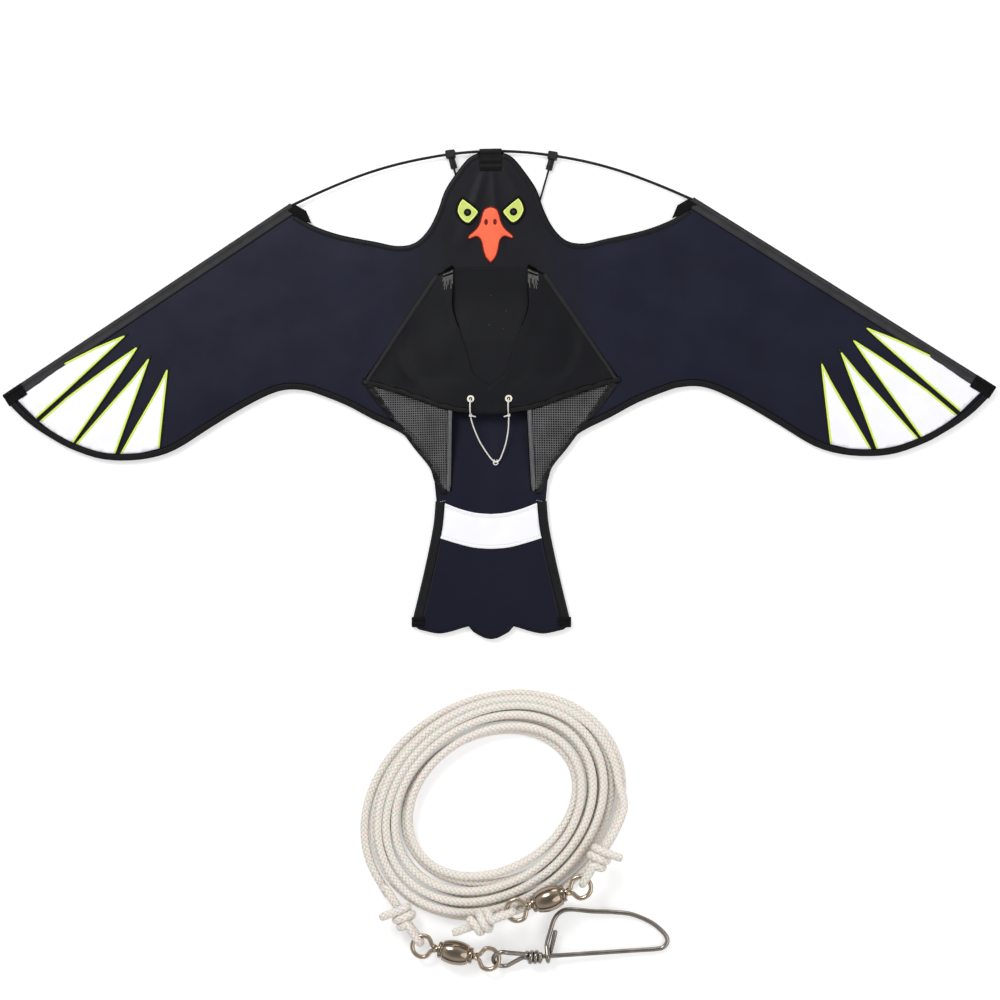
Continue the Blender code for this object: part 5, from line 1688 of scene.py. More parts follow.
    def sleeve(self, side: int, word: str, relief: Relief) -> None:
        """Builds one wing sleeve, its stitches, its end fold and its tip pocket."""
        mouth, tip, along, inward = self.leading(side)
        end = tip - along * (TAPE + 2 * GAP + self.cap_length)
        path = self.ordered([mouth, end], side, 0.004)
        sleeve = sweep(path, self.fold(self.sleeve_width, self.fold_radius, TAPE,
                                       CLOTH + 2 * GAP, 0.00035),
                       UP, name="wing_sleeve_" + word + "_tape")
        settle(sleeve, SLEEVE, Body.KITE, "binding", "wing_sleeve_" + word)
        top = SAIL_HEIGHT + CLOTH / 2 + GAP + TAPE
        # Two dark lines along the sleeve: the outer one, on the tube's rounded side, is a painted
        # shade line; the inner one follows the flap's edge.
        rims = []
        for depth, lift in ((-self.fold_radius - 0.0001, 0.0004), (self.sleeve_width
                                                                    - self.fold_radius, 0.0006)):
            rim = [p + inward * depth + flat(0.0, 0.0, lift) for p in path]
            rims.append(ribbon(rim, *self.rim))
        settle(join("wing_sleeve_" + word + "_rims", rims), EDGE_AND_SHADE_LINE, Body.KITE, "binding")
        raised = inward * 0.0086 + UP * (top - SAIL_HEIGHT + 0.00005)
        seam = self.ordered([mouth + along * 0.002, end], side, 0.004)[1:]
        STITCHER.sew("sleeve_stitches_" + word, [[p + raised for p in seam]], RUN_STITCH)

        radius = self.fold_radius + GAP + TAPE
        start = tip - along * self.tip_length
        section = self.fold(self.tip_width, radius, TAPE, CLOTH + 4 * GAP + 2 * TAPE, 0.0003)
        path = self.ordered([start, tip - along * TAPE], side, 0.003)
        pocket = sweep(path, section, UP, name="pocket")
        shut = self.ordered([tip - along * TAPE, tip], side, 0.0003)
        wall = sweep(shut, lambda share, i: section(share, 0)[:20 + 1], UP, name="wall")
        over = self.ordered([start + along * 0.0015, start + along * 0.0085], side, 0.002)
        lap_up = top - SAIL_HEIGHT + TAPE + 0.0007
        lap_line = [p + inward * (radius + 0.0048) + flat(0.0, 0.0, lap_up) for p in over]
        lap = ribbon(lap_line, 0.0098, 0.0008)
        made = join("wing_tip_" + word + "_pocket", [pocket, wall, lap])
        settle(made, WEBBING, Body.KITE, "binding", "wing_tip_pocket_" + word)
        height = top + TAPE + 0.0005
        box = [start + along * 0.002 + inward * 0.0045, tip - along * 0.002 + inward * 0.0045,
               tip - along * 0.002 + inward * 0.0115, start + along * 0.002 + inward * 0.0115]
        ring = [flat(p.x, p.y, height + 0.0003) for p in box]
        ring.append(ring[0].copy())
        STITCHER.sew("tip_stitches_" + word, [even(ring, 0.001)], RUN_STITCH)

        gusset = Outline(PLAN.line(self.gusset_px, side))
        if side < 0:
            gusset.points.reverse()
        patch = fill("sleeve_end_" + word, gusset, relief, 0.0025, CLOTH / 2 + 0.0006, 0.0005,
                     0.0007)
        settle(patch, WEBBING, Body.KITE, "binding")
        ring = gusset.inset(0.0012)
        ring.append(ring[0].copy())
        STITCHER.sew("gusset_stitches_" + word,
                     [relief.height(even(ring, 0.001), CLOTH / 2 + 0.00135)], FINE_STITCH)

    def ordered(self, ends: Line, side: int, step: float) -> list[Vector]:
        """Returns an even line at the sail's height whose right side faces inward."""
        return self.ordered_line(even(ends, step), side)

    def tail_edge(self, side: int, word: str) -> None:
        """Builds the tape along one side of the tail, and the corner pocket."""
        shift = flat(side * self.flat_fold, 0.0)
        edge = [p - shift for p in PLAN.line(self.tail_side_px, side)]
        edge[-1] = edge[-2].lerp(edge[-1], 0.9)
        line = even(smooth(edge, 6), 0.003)
        path = self.ordered_line(line, side)
        section = self.fold(self.tail_sleeve_width, self.flat_fold, TAPE,
                            2 * (self.flat_fold - TAPE), 0.0004)
        tape = sweep(path, section, UP, name="tail_tape_" + word)
        settle(tape, TAIL_TAPE, Body.KITE, "binding", "tail_sleeve_" + word)
        lines = []
        for depth, lift in ((0.0006, -0.0001), (0.0112, -0.0006)):
            bead = [flat(p.x, p.y, SAIL_HEIGHT + self.flat_fold + lift)
                    for p in self.inset_line(line, depth, side)]
            lines.append(ribbon(bead, *self.bead))
        settle(join("tail_beads_" + word, lines), SIDE_HIGHLIGHT_AND_BEAD, Body.KITE, "binding")
        top = SAIL_HEIGHT + self.flat_fold
        seams = []
        for depth in (0.0016, 0.0078):
            seam = self.inset_line(line, depth, side)
            seams.append([flat(p.x, p.y, top + 0.00045) for p in seam[1:-2]])
        STITCHER.sew("tail_stitches_" + word, seams, RUN_STITCH)

        top = SAIL_HEIGHT + self.flat_fold + GAP + TAPE
        section = self.fold(self.tail_pocket[1], top / 2, TAPE, top - 2 * TAPE - GAP)
        corner = PLAN.point(self.tail_pocket_px, side)
        reach = flat(self.tail_pocket[0] / 2, 0.0)
        path = even([corner + reach, corner - reach], 0.0015)
        for p in path:
            p.z = top / 2
        pocket = sweep(path, section, UP, name="pocket")
        laps = [pocket]
        for back in (0.0030, 0.0095):
            line = [flat(p.x, p.y - top / 2 + back + (0.0 if back > 0.005 else 0.001),
                            top + 0.0003) for p in path]
            laps.append(ribbon(line, 0.0026, 0.0009))
        made = join("tail_corner_" + word, laps)
        settle(made, WEBBING, Body.KITE, "binding", "tail_pocket_" + word)
        low = corner.y - top / 2
        box = [(-0.0062, 0.0016), (0.0062, 0.0016), (0.0062, 0.0104), (-0.0062, 0.0104),
               (-0.0062, 0.0016)]
        ring = [flat(corner.x + x, low + y, top + 0.0008) for x, y in box]
        STITCHER.sew("corner_stitches_" + word, [even(ring, 0.001)], RUN_STITCH)

    @staticmethod
    def ordered_line(line: Line, side: int) -> list[Vector]:
        """Returns a line at the sail's height, turned so that its right faces inward."""
        moved = [flat(p.x, p.y, SAIL_HEIGHT) for p in line]
        return moved if side > 0 else list(reversed(moved))

    def tab(self) -> None:
        """Builds the head tab that wraps the spar, with its sewn bands."""
        radius = SPAR_RADIUS + 2 * GAP + 0.0006 + TAPE
        section = self.fold(self.head_tab[1], radius, TAPE, CLOTH + 2 * GAP, 0.0002)
        middle = flat(0.0, PLAN.y(self.spar_row), SAIL_HEIGHT)
        reach = flat(self.head_tab[0] / 2, 0.0)
        path = even([middle - reach, middle + reach], 0.0015)
        tab = sweep(path, section, UP, name="head_tab_webbing")
        settle(tab, TAB_CLOTH, Body.KITE, "binding", "head_tab")
        pieces = []
        top = SAIL_HEIGHT + CLOTH / 2 + GAP + TAPE
        seams = []
        for back, wide in ((0.0128, 0.0036), (0.0209, 0.0044)):
            line = [flat(p.x * 0.97, middle.y - back, top + 0.0004) for p in path]
            pieces.append(ribbon(line, wide, 0.0009))
            for off in (-wide / 2 + 0.0007, wide / 2 - 0.0007):
                seams.append([flat(p.x * 0.93, middle.y - back + off, top + 0.0010) for p in path])
        for side in (-1, 1):
            seams.append([flat(side * (self.head_tab[0] / 2 - 0.0016),
                                  middle.y - 0.0060 - 0.0017 * n, top + 0.0003)
                          for n in range(11)])
        settle(join("head_tab_bands", pieces), WEBBING, Body.KITE, "binding")
        STITCHER.sew("tab_stitches", seams, RUN_STITCH)


@dataclass
class Patches:
    """The sewn patches: band, feathers, eyes and beak."""

    band_px: tuple[Pair, ...] = (
        (0.0, 515.0), (16.0, 513.6), (32.0, 509.4), (45.9, 504.0), (47.8, 525.0),
        (50.2, 539.0), (34.0, 544.0), (17.0, 548.2), (0.0, 549.5))
    feathers_px: tuple[tuple[Pair, ...], ...] = (
        ((369.0, 332.3), (400.0, 344.6), (433.0, 360.8), (458.0, 379.4), (482.0, 396.6),
         (461.5, 416.6), (429.6, 388.4), (396.0, 357.5)),
        ((356.6, 344.0), (384.0, 361.8), (407.5, 378.6), (429.5, 394.9), (458.3, 419.6),
         (441.5, 432.8), (423.8, 442.3), (398.7, 406.4), (374.5, 371.3)),
        ((344.7, 355.2), (363.5, 378.0), (382.3, 399.0), (401.5, 420.6), (421.3, 443.0),
         (400.6, 450.3), (380.2, 453.4), (363.0, 405.8)),
        ((326.3, 366.0), (336.0, 385.0), (346.5, 403.4), (360.5, 427.0), (375.2, 453.0),
         (355.0, 452.4), (334.8, 447.4), (330.2, 405.0)))
    neon_edges: tuple[tuple[tuple[int, int], ...], ...] = (
        ((0, 2), (5, 8)), ((0, 4), (6, 9)), ((0, 4), (6, 8)), ((0, 4), (6, 8)))
    eye_px: tuple[Pair, ...] = (
        (28.0, 199.6), (21.5, 204.4), (13.6, 211.2), (12.6, 214.2), (17.0, 220.0),
        (22.4, 224.5), (29.0, 220.5), (33.0, 213.6), (33.0, 209.0), (31.0, 203.6))
    pupil_px: Pair = (23.0, 213.6)
    beak_px: tuple[Pair, ...] = (
        (0.0, 208.3), (4.6, 209.8), (7.6, 213.6), (11.0, 225.0), (15.0, 231.0),
        (21.8, 237.2), (21.4, 239.9), (14.6, 237.6), (10.8, 239.6), (8.6, 244.0),
        (7.4, 251.0), (4.8, 258.6), (0.0, 264.0))
    nostril_px: Pair = (4.5, 223.4)
    lift: float = CLOTH + GAP

    def build(self, relief: Relief) -> None:
        """Builds all patches."""
        self.band(relief)
        for side, word in SIDES:
            for n, table in enumerate(self.feathers_px):
                self.feather(side, word, n, table, relief)
            self.eye(side, word, relief)
        self.beak(relief)

    def band(self, relief: Relief) -> None:
        """Builds the white band on the tail with its seam edges."""
        right = smooth(PLAN.line(self.band_px[:4]), 4)
        side_line = PLAN.line(self.band_px[3:6])
        bottom = smooth(PLAN.line(self.band_px[5:]), 4)
        half = right[:-1] + smooth(side_line, 3)[:-1] + bottom
        outline = self.both_halves(half)
        cloth = fill("tail_band_cloth", outline, relief, 0.0035, self.lift, CLOTH, 0.0003)
        settle(cloth, WHITE, Body.KITE, "white_cloth", "tail_band")
        seam_lines, stitches = [], []
        for line, sign in ((right, -1.0), (bottom, 1.0)):
            whole = [flat(-p.x, p.y) for p in reversed(line[1:])] + list(line) \
                if line is right else list(line) + [flat(-p.x, p.y)
                                                    for p in reversed(line[:-1])]
            moved = [p + flat(0.0, sign * 0.0016) for p in whole]
            seam_lines.append(tape_along("seam", moved, relief, 0.0030, 0.0006,
                                         self.lift + 0.00045))
            for off in (0.0016, 0.0042):
                row = [p + flat(0.0, sign * off) for p in whole[1:-1]]
                stitches.append(relief.height(even(row, 0.002), self.lift + 0.00092))
        settle(join("tail_band_seams", seam_lines), SEAM_WHITE, Body.KITE, "white_cloth")
        STITCHER.sew("tail_band_stitches", stitches, PALE_STITCH)
        marks = []
        for side in (-1, 1):
            for off in (0.0, 2.2, 4.4):
                a, b = PLAN.point((46.0 + off, 501.6 + off * 0.2), side), \
                    PLAN.point((47.6 + off, 501.2 + off * 0.2), side)
                marks.append(relief.height(even([a, b], 0.001), 0.0031))
        STITCHER.sew("tail_band_tacks", marks, PALE_STITCH)

    @staticmethod
    def both_halves(half: Line) -> Outline:
        """Returns the outline of a right half and its mirror image."""
        return Outline([*half, *(flat(-p.x, p.y) for p in half[-2:0:-1])])

    def feather(self, side: int, word: str, n: int, table: Sequence[Pair], relief: Relief) -> None:
        """Builds one feather with its neon and dark edge lines."""
        outline = Outline(PLAN.line(table, side))
        name = "feather_" + word + "_" + str(n + 1)
        cloth = fill(name + "_cloth", outline, relief, 0.0045, self.lift, CLOTH, 0.0004)
        settle(cloth, WHITE, Body.KITE, "white_cloth", name)
        neon, dark = [], []
        inner, outer = outline.inset(0.0012), outline.inset(-0.0008)
        inner.append(inner[0])
        outer.append(outer[0])
        for first, last in self.neon_edges[n]:
            neon.append(tape_along("neon", inner[first:last + 1], relief, 0.0023,
                                   0.0005, self.lift + CLOTH / 2 + 0.0003))
            dark.append(tape_along("dark", outer[first:last + 1], relief, 0.0017,
                                   0.0009, self.lift + CLOTH / 2 + 0.0001))
        settle(join(name + "_neon", neon), NEON, Body.KITE, "white_cloth")
        settle(join(name + "_edge", dark), OLIVE, Body.KITE, "binding")

    def eye(self, side: int, word: str, relief: Relief) -> None:
        """Builds one eye: cloth, ink outline, pupil and its middle."""
        ring = PLAN.line(self.eye_px, side)
        outline = Outline(smooth(ring + [ring[0]], 4)[:-1])
        cloth = fill("eye_" + word + "_cloth", outline, relief, 0.0022, self.lift, CLOTH, 0.0003)
        settle(cloth, EYE, Body.KITE, "eye_yellow", "eye_" + word)
        line = tape_along("eye_" + word + "_line", outline.inset(-0.0010), relief, 0.0030, 0.0010,
                          self.lift + CLOTH / 2, 0.0015, closed=True)
        settle(line, INK, Body.KITE, "binding")
        rim = tape_along("eye_" + word + "_rim", outline.inset(0.0014), relief, 0.0015, 0.0005,
                         self.lift + CLOTH / 2 + 0.0003, 0.0015, closed=True)
        settle(rim, EYE_RIM, Body.KITE, "eye_yellow")
        middle = PLAN.point(self.pupil_px, side)
        for radius, finish, lift, tag in ((0.0046, INK, 0.0006, "pupil"),
                                          (0.0017, PUPIL_MIDDLE, 0.0010, "pupil_middle")):
            disc = Outline([middle + flat(radius * c, radius * s) for c, s in circle(28)])
            piece = fill("eye_" + word + "_" + tag, disc, relief, 0.0012, self.lift + lift, 0.0003,
                         0.0002)
            settle(piece, finish, Body.KITE, "binding")

    def beak(self, relief: Relief) -> None:
        """Builds the beak with its dark edge and nostrils."""
        half = smooth(PLAN.line(self.beak_px), 4)
        outline = self.both_halves(half)
        cloth = fill("beak_cloth", outline, relief, 0.0022, self.lift, CLOTH, 0.0004)
        settle(cloth, BEAK, Body.KITE, "beak_orange", "beak")
        line = tape_along("beak_line", outline.inset(-0.0001), relief, 0.0015, 0.0009,
                          self.lift + CLOTH / 2, 0.0012, closed=True)
        settle(line, BEAK_EDGE, Body.KITE, "beak_orange")
        for side, word in SIDES:
            middle = PLAN.point(self.nostril_px, side)
            disc = Outline([middle + flat(0.0022 * c, 0.0036 * s) for c, s in circle(24)])
            piece = fill("nostril_" + word, disc, relief, 0.0010, self.lift + 0.0007, 0.0003,
                         0.0002)
            settle(piece, BEAK_EDGE, Body.KITE, "beak_orange")


@dataclass
class Keel:
    """The keel flap with its hems, mesh sides, strips and throat tabs."""

    inner_px: tuple[Pair, ...] = (
        (37.5, 268.0), (37.5, 290.0), (37.5, 310.0), (30.0, 333.0), (22.0, 356.0),
        (15.5, 376.0), (0.0, 389.5))
    outer_px: tuple[Pair, ...] = (
        (54.0, 276.5), (66.6, 294.5), (79.2, 312.4), (94.0, 333.5), (108.0, 353.5),
        (121.0, 372.0), (126.4, 379.8))
    hem_px: tuple[Pair, ...] = (
        (0.0, 417.0), (16.0, 415.8), (31.0, 413.4), (48.0, 410.0), (64.0, 404.0),
        (80.0, 398.0), (98.0, 392.2), (115.0, 387.4), (129.0, 383.5))
    rise_shares: tuple[float, ...] = (0.10, 0.28, 0.46, 0.64, 0.81, 0.925, 0.975, 1.0)
    flat_px: float = 34.0
    panel_px: tuple[Pair, ...] = ((41.0, 269.0), (41.5, 290.0), (41.0, 310.0), (35.0, 333.0),
                                  (27.0, 356.0), (20.5, 376.0), (17.0, 397.0))
    panel_rows: Pair = (292.0, 346.0)
    ridge_px: tuple[Pair, ...] = ((93.0, 340.0), (90.0, 360.0), (79.0, 380.0), (62.0, 395.0))
    ridge: Pair = (0.0017, 0.0068)
    strip_top: Pair = (39.5, 414.0)
    strip_end: Pair = (42.5, 492.0)
    strip_width: float = 0.0058
    mesh_outer: tuple[Pair, ...] = ((116.0, 389.0), (96.0, 418.0), (77.5, 441.0),
                                    (61.0, 463.0), (50.0, 481.0), (45.5, 489.0))
    fold_outer: tuple[Pair, ...] = ((127.0, 386.0), (114.0, 404.0), (99.0, 421.5),
                                    (89.5, 432.0), (76.0, 450.0), (61.5, 468.0),
                                    (57.0, 481.0), (50.0, 495.0))
    net_pitch: float = 0.0028
    net_thread: float = 0.0019
    middle_px: float = 17.5
    grain: int = 5
    # Rows, first place and pitch of the pale streaks, painted highlights on the throat tape.
    streak_rows: tuple[int, ...] = (5, 6, 4, 5, 6, 4, 6, 5, 4, 4, 3)
    streak_first: float = 0.03
    streak_pitch: float = 0.046
    tack_px: tuple[Pair, ...] = ((0.4, 297.0), (15.5, 313.0), (-1.0, 327.0), (13.0, 331.0))
    tack_length_px: float = 1.6
    panel_steps: int = 14
    fold_steps: int = 96
    strip_line_size: Pair = (0.0013, 0.0013)

    def crown(self, column: float, edge: float) -> float:
        """Returns how high the keel stands at a distance from the middle, 1 to 0."""
        if column <= self.flat_px:
            return 1.0
        share = min(1.0, (column - self.flat_px) / (edge - self.flat_px))
        return cos(pi / 2 * share) ** 2

    def hem_row(self, column: float) -> float:
        """Returns the row of the rear hem at a distance from the middle."""
        return float(np.interp(column, *zip(*self.hem_px)))

    def lofted(self, column: float, line: float, rise: float, edge: float) -> Vector:
        """Returns a place of the flap: its pixels, share of rise and outer column."""
        return PLAN.point((column, line)) + UP * (
            KEEL_BASE + KEEL_RISE * rise * self.crown(column, edge))

    def grid(self) -> list[list[Vector]]:
        """Returns the fine rows of the right half, throat to rear hem."""
        last = len(self.hem_px) - 1
        rows = []
        for (c0, r0), (c1, r1), rise in zip(self.inner_px, self.outer_px, self.rise_shares):
            rows.append([self.lofted(c0 + (c1 - c0) * k / last, r0 + (r1 - r0) * k / last,
                                     rise, c1) for k in range(last + 1)])
        rows.append([self.lofted(column, line, 1.0, self.hem_px[-1][0])
                     for column, line in self.hem_px])
        columns = zip(*(smooth(row, self.grain) for row in rows))
        fine = [list(row) for row in zip(*(smooth(list(c), self.grain) for c in columns))]
        ridge = smooth(PLAN.line(self.ridge_px), 4)
        for i, row in enumerate(fine):
            for j, p in enumerate(row):
                p.x = max(p.x, 0.0)
                share = min(j / 8.0, (len(row) - 1 - j) / 8.0, (len(fine) - 1 - i) / 8.0, 1.0)
                wave = sin(p.x * 55.0 + p.y * 85.0) + 0.5 * sin(p.x * 130.0 - p.y * 60.0 + 2.0)
                p.z += 0.0007 * max(share, 0.0) * (wave - 1.0)
                away = min((flat(p.x, p.y) - q).length for q in ridge)
                p.z += self.ridge[0] * max(share, 0.0) * exp(-(away / self.ridge[1]) ** 2)
        return fine

    def build(self) -> None:
        """Builds all pieces of the keel."""
        rows = self.grid()
        flap = self.cloth("keel_cloth", rows, TAPE, True)
        settle(flap, KEEL_CLOTH, Body.KITE, "keel_cloth", "keel")
        self.panel(rows)
        self.trims(rows)
        for side, word in SIDES:
            self.net(side, word)
            self.folded_band(side, word)
            self.strip(side, word)
            self.throat(side, word, rows)
            WARDROBE.dress(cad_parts["eyelet_" + word], EYELET)
        self.tacks(rows)

    def panel_height(self, y: float, rows: Sequence[Line]) -> float:
        """Returns how high the cloth between the flap's halves lies."""
        levels, lifts = zip(*sorted((row[0].y, row[0].z) for row in rows))
        top, full = (PLAN.y(row) for row in self.panel_rows)
        share = min(1.0, max(0.0, (top - y) / (top - full)))
        low = SAIL_TOP + 0.0006
        high = float(np.interp(y, levels, lifts)) - 0.0008
        return low + max(high - low, 0.0) * share * share * (3 - 2 * share)

    def panel(self, rows: Sequence[Line]) -> None:
        """Builds the cloth that closes the opening between the flap's halves."""
        made, area = [], 0.0
        for p in smooth(PLAN.line(self.panel_px), 8):
            height = self.panel_height(p.y, rows)
            made.append([flat(p.x * k / self.panel_steps, p.y, height)
                         for k in range(self.panel_steps + 1)])
        for a, b in zip(made, made[1:]):
            area += (a[-1].x + b[-1].x) * abs(a[-1].y - b[-1].y)
        obj = self.cloth("belly_panel", made, 0.0004, True)
        settle(obj, KEEL_CLOTH, Body.KITE, "keel_cloth")

    @staticmethod
    def cloth(name: str, rows: Sequence[Line], thick: float, mirrored: bool = False) -> Object:
        """Makes a solid cloth from rows of points on its middle surface."""
        width = len(rows[0])
        faces = [(a, a + 1, a + width + 1, a + width)
                 for i in range(len(rows) - 1) for a in range(i * width, (i + 1) * width - 1)]
        obj = mesh_piece(name, [p for row in rows for p in row], faces)
        if mirrored:
            mirror = obj.modifiers.new("mirror", "MIRROR")
            mirror.merge_threshold = 1e-5
        return thicken(obj, thick)

    def trims(self, rows: Sequence[Line]) -> None:
        """Builds the tapes along the flap's edges and their stitches."""
        hems, sides, rims, seams = [], [], [], []
        hem_right = [p for p in rows[-1] if p.x > PLAN.x(self.middle_px)]
        picked = (hem_right, [row[-1] for row in rows], [row[-4] for row in rows],
                  [row[0] for row in rows], [row[3] for row in rows], rows[0])
        for side, _ in SIDES:
            last, outer, inside, inner, beside, head = (
                [flat(side * p.x, p.y, p.z) for p in line] for line in picked)
            lifted = [p + flat(0.0, 0.0026 + 0.0005 * sin(p.x * 230.0 + 1.0),
                                  TAPE / 2 + 0.0005 + 0.0004 * sin(p.x * 340.0))
                      for p in last]
            hems.append(ribbon(lifted, 0.0056, 0.0009))
            rim = [p + flat(0.0, -0.0001) for p in last]
            rims.append(ribbon(rim, 0.0016, 0.0016))
            rims.append(ribbon([p + flat(0.0, 0.0056 + 0.0007 * sin(p.x * 230.0 + 1.0),
                                           TAPE / 2 + 0.0003) for p in last], 0.0010, 0.0010))
            for off in (0.0014, 0.0042):
                seams.append([p + flat(0.0, off, TAPE / 2 + 0.00095) for p in last])
            # The keel's side hem tape: its pale colour is a painted highlight.
            mean = [a.lerp(b, 0.35) + flat(0.0, 0.0, TAPE / 2 + 0.0004)
                    for a, b in zip(outer, inside)]
            sides.append(ribbon(mean, 0.0046, 0.0008))
            rims.append(ribbon(outer, 0.0015, 0.0016))
            for share in (0.12, 0.58):
                seams.append([a.lerp(b, share) + flat(0.0, 0.0, TAPE / 2 + 0.00095)
                              for a, b in zip(outer, inside)])
            rims.append(ribbon(inner[:self.grain * 3], 0.0012, 0.0014))
            seams.append([a + (b - a).normalized() * 0.0032 + flat(0.0, 0.0, TAPE / 2 + 0.0003)
                          for a, b in zip(inner[:self.grain * 5], beside)])
            rims.append(ribbon(head, 0.0016, 0.0017))
        settle(join("keel_hems", hems), KEEL_HEM, Body.KITE, "binding")
        settle(join("keel_side_highlights", sides), SIDE_HIGHLIGHT_AND_BEAD, Body.KITE, "keel_cloth")
        settle(join("keel_rims", rims), EDGE_AND_SHADE_LINE, Body.KITE, "binding")
        STITCHER.sew("keel_stitches", seams, FINE_STITCH)

    def strip_line(self, side: int) -> list[Vector]:
        """Returns the middle line of a light strip, hem to tail."""
        steps = 24
        found = []
        start_y = PLAN.y(self.hem_row(self.strip_top[0])) - GAP
        end_y = PLAN.y(self.strip_end[1])
        for n in range(steps + 1):
            share = n / steps
            column = self.strip_top[0] + (self.strip_end[0] - self.strip_top[0]) * share
            fall = cos(pi / 2 * share) ** 2
            rise = KEEL_RISE * self.crown(self.strip_top[0], self.hem_px[-1][0]) * fall
            found.append(flat(side * PLAN.x(column), start_y + (end_y - start_y) * share,
                                 KEEL_BASE + rise))
        return found

    def strip(self, side: int, word: str) -> None:
        """Builds one light strip with the dark lines beside it."""
        line = self.strip_line(side)
        half = self.strip_width / 2

        def section(share: float, i: int) -> Sequence[Pair]:
            """Gives the strip's section, narrowed to a rounded lower end."""
            left = (1.0 - share) * (len(line) - 1)
            size = min(1.0, 0.45 + 0.3 * left)
            return [(x * size, y) for x, y in flat_section(self.strip_width, 0.0009)(share, i)]

        obj = sweep(line, section, UP, name="strip_" + word + "_tape")
        settle(obj, GREY_STRIP, Body.KITE, "light_strip", "strip_" + word)
        lines = []
        for off in (-half - 0.0002, half + 0.0002):
            moved = [p + flat(off, 0.0, 0.0002) for p in line]
            lines.append(ribbon(moved, *self.strip_line_size))
        settle(join("strip_" + word + "_lines", lines), EDGE_AND_SHADE_LINE, Body.KITE, "binding")
        seams = [[p + flat(off, 0.0, 0.00062) for p in line[:-1]] for off in (-0.0017, 0.0017)]
        STITCHER.sew("strip_" + word + "_stitches", seams, FINE_STITCH)

    def outer_at(self, y: float) -> float:
        """Returns the mesh side's outer edge in metres at a height in plan."""
        line = PLAN.line(self.mesh_outer)[::-1]
        return float(np.interp(y, [p.y for p in line], [p.x for p in line]))

    def net_height(self, x: float, y: float) -> float:
        """Returns the mesh side's height at a place of the right half."""
        top = PLAN.y(self.hem_row(self.strip_top[0])) - GAP
        share = min(1.0, max(0.0, (y - top) / (PLAN.y(self.strip_end[1]) - top)))
        fall = cos(pi / 2 * share) ** 2
        start = KEEL_RISE * self.crown(self.strip_top[0], self.hem_px[-1][0]) * fall
        first = PLAN.x(self.strip_top[0]) + self.strip_width / 2
        across = min(1.0, max(0.0, (x - first) / max(self.outer_at(y) - first, 1e-4)))
        sag = 0.0006 * sin(x * 160.0) * sin(y * 120.0) * across * (1.0 - across) * 4
        return KEEL_BASE + start * cos(pi / 2 * across) ** 2 + max(sag, 0.0)

    def net(self, side: int, word: str) -> None:
        """Builds one mesh side as a real net of threads."""
        first = PLAN.x(self.strip_top[0] + 1.6)
        top = PLAN.y(self.hem_px[-1][1])
        low = PLAN.y(self.mesh_outer[-1][1])
        pitch = self.net_pitch
        columns = int((PLAN.x(self.mesh_outer[0][0]) - first) / pitch) + 2
        rows = int((top - low) / pitch) + 2
        index, points, faces = {}, [], []
        for j in range(rows):
            y = top - j * pitch
            for i in range(columns):
                x = first + i * pitch
                hem = PLAN.y(self.hem_row(x / PLAN.half_span * PLAN.half_span_px))
                if y < hem + 0.0048 and x < self.outer_at(y) + 0.0036:
                    index[i, j] = len(points)
                    under = min(1.0, max(0.0, (y - hem + 0.0030) / 0.0030))
                    points.append(flat(side * x, y, max(
                        self.net_height(x, y) - 0.0021 * under, SAIL_TOP + 0.0012)))
        for (i, j) in index:
            ring = [(i, j), (i + 1, j), (i + 1, j + 1), (i, j + 1)]
            if all(key in index for key in ring):
                faces.append([index[key] for key in ring])
        obj = mesh_piece("mesh_" + word + "_net", points, faces)
        wires = obj.modifiers.new("threads", "WIREFRAME")
        wires.thickness = self.net_thread
        wires.use_even_offset = False
        made = apply_modifiers(obj)
        settle(made, NET, Body.KITE, "mesh", "mesh_" + word)

    @staticmethod
    def spaced(line: Line, count: int) -> list[Vector]:
        """Returns a line as that many even points."""
        fine = even(line, run_length(line) / (count * 4))
        return [fine[round(n * (len(fine) - 1) / (count - 1))] for n in range(count)]

    def folded_band(self, side: int, word: str) -> None:
        """Builds the crumpled dark cloth beside a mesh side."""
        inner = smooth(PLAN.line(((119.0, 385.5),) + self.mesh_outer[1:-1] + ((44.5, 494.5),)), 6)
        outer = smooth(PLAN.line(self.fold_outer), 6)
        inner, outer = (self.spaced(line, self.fold_steps) for line in (inner, outer))
        rows = []
        for n, (near, far) in enumerate(zip(inner, outer)):
            row = []
            for k in range(9):
                across = k / 8
                q = near.lerp(far, across * 1.08 - 0.08)
                fold = (sin(n * 0.55 + across * 5.0) + 0.7 * sin(n * 0.21 - across * 9.0 + 1.0)
                        + 0.5 * sin(n * 1.3 + across * 2.0))
                lift = 0.0012 * (0.9 + fold / 2.2) * sin(pi * min(1.0, across + 0.12))
                base = KEEL_BASE + 0.0004 * (1.0 - across)
                row.append(flat(side * q.x, q.y, base + max(lift, 0.0)))
            rows.append(row)
        obj = self.cloth("folded_band_" + word, rows, 0.0004)
        settle(obj, FOLD_TAPE, Body.KITE, "binding")

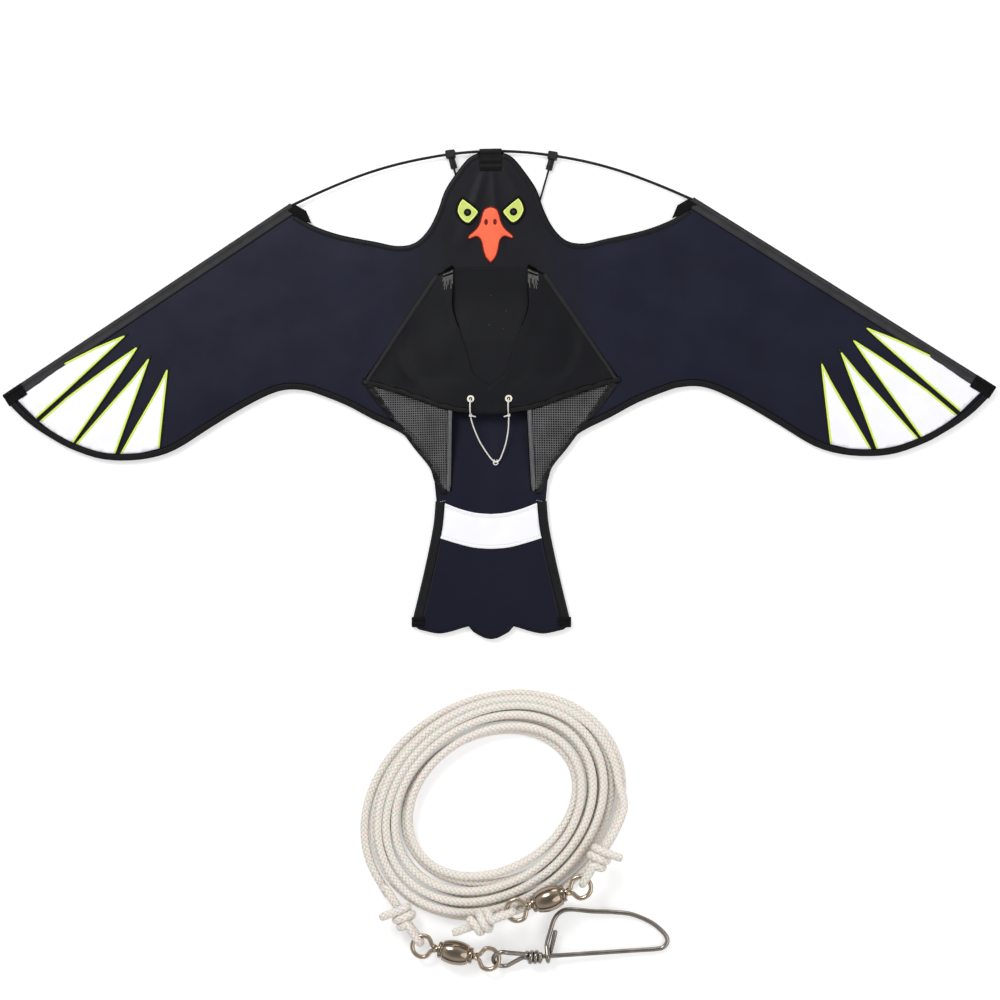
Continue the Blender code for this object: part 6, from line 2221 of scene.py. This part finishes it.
    def throat(self, side: int, word: str, rows: Sequence[Line]) -> None:
        """Builds one throat tab: pale streaks that are painted highlights on the gathered tape,
        and dark bars across its end.
        """
        base, streaks = [], []
        width = len(rows[0]) - 1
        # Pale streaks laid on the flap's top rows: painted highlights on the gathered tape.
        for n, reach in enumerate(self.streak_rows):
            j = min(round(width * (self.streak_first + self.streak_pitch * n)), width)
            line = [flat(side * rows[i][j].x, rows[i][j].y,
                            rows[i][j].z + TAPE / 2 + 0.0007 + 0.0002 * sin(i + n))
                    for i in range(1, reach)]
            line[0].z -= 0.0002
            streaks.append(ribbon(even(line, 0.0015), 0.0010, 0.0005))
        settle(join("keel_tape_" + word + "_highlight_streaks", streaks), STREAK_HIGHLIGHT, Body.KITE, "light_strip",
               "keel_tape_" + word)
        for i in (0, 1, 2):
            line = [flat(side * rows[i][j].x, rows[i][j].y + 0.0012,
                            rows[i][j].z + TAPE / 2 + 0.0011) for j in range(0, width // 2)]
            base.append(ribbon(even(line, 0.0015), 0.0021, 0.0011))
        settle(join("throat_bar_" + word, base), EDGE_AND_SHADE_LINE, Body.KITE, "binding")

    def tacks(self, rows: Sequence[Line]) -> None:
        """Builds the few pale tacks on the belly under the throat."""
        marks = []
        for column, line in self.tack_px:
            end = PLAN.point((column, line + self.tack_length_px))
            mark = even([PLAN.point((column, line)), end], 0.0007)
            for p in mark:
                p.z = self.panel_height(p.y, rows) + 0.0005
            marks.append(mark)
        STITCHER.sew("belly_tacks", marks, TACK_STITCH)


@dataclass
class Rods:
    """The finish of the frame's rods, caps, ferrule and tees."""

    def build(self) -> None:
        """Dresses the CAD nodes of the frame and adds the tees' moulded rings."""
        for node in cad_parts:
            if node.startswith(("spar", "strut")):
                WARDROBE.dress(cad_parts[node], ROD)
            if node.startswith("tee"):
                WARDROBE.dress(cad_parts[node], RUBBER)
                self.ring(node)

    def ring(self, node: str) -> None:
        """Adds the moulded ring and seam line on one tee."""
        low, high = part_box(node)
        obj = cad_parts[node]
        bottom = [v.co for v in obj.data.vertices if v.co.y < low.y + 0.004]
        middle = sum((Vector(v) for v in bottom), Vector()) / max(len(bottom), 1)
        top = flat((low.x + high.x) / 2, high.y - 0.006, middle.z)
        run = (middle - top).normalized()
        side = flat(-run.y, run.x).normalized()
        up = side.cross(run)
        rings = []
        for back in (0.0, 0.0026):
            centre = middle - run * (0.0014 + back)
            path = [centre + (side * c + up * s) * 0.0039 for c, s in circle(28)]
            rings.append(sweep(path, round_section(0.00055, 8, False), closed=True))
        settle(join(node + "_rings", rings), RUBBER, Body.KITE, "tee_rubber")


def main() -> None:
    """Builds the scene: studio and cords first, then cloth and frame."""
    logging.basicConfig(level=logging.INFO, format="%(message)s")
    Studio().build()
    line = LineSet()
    line.build()
    Metal(line).build()
    Bridle().build()
    sail = Sail()
    relief = Relief(sail.outline())
    sail.build(relief)
    Patches().build(relief)
    Keel().build()
    Rods().build()


if __name__ == "__main__":
    main()
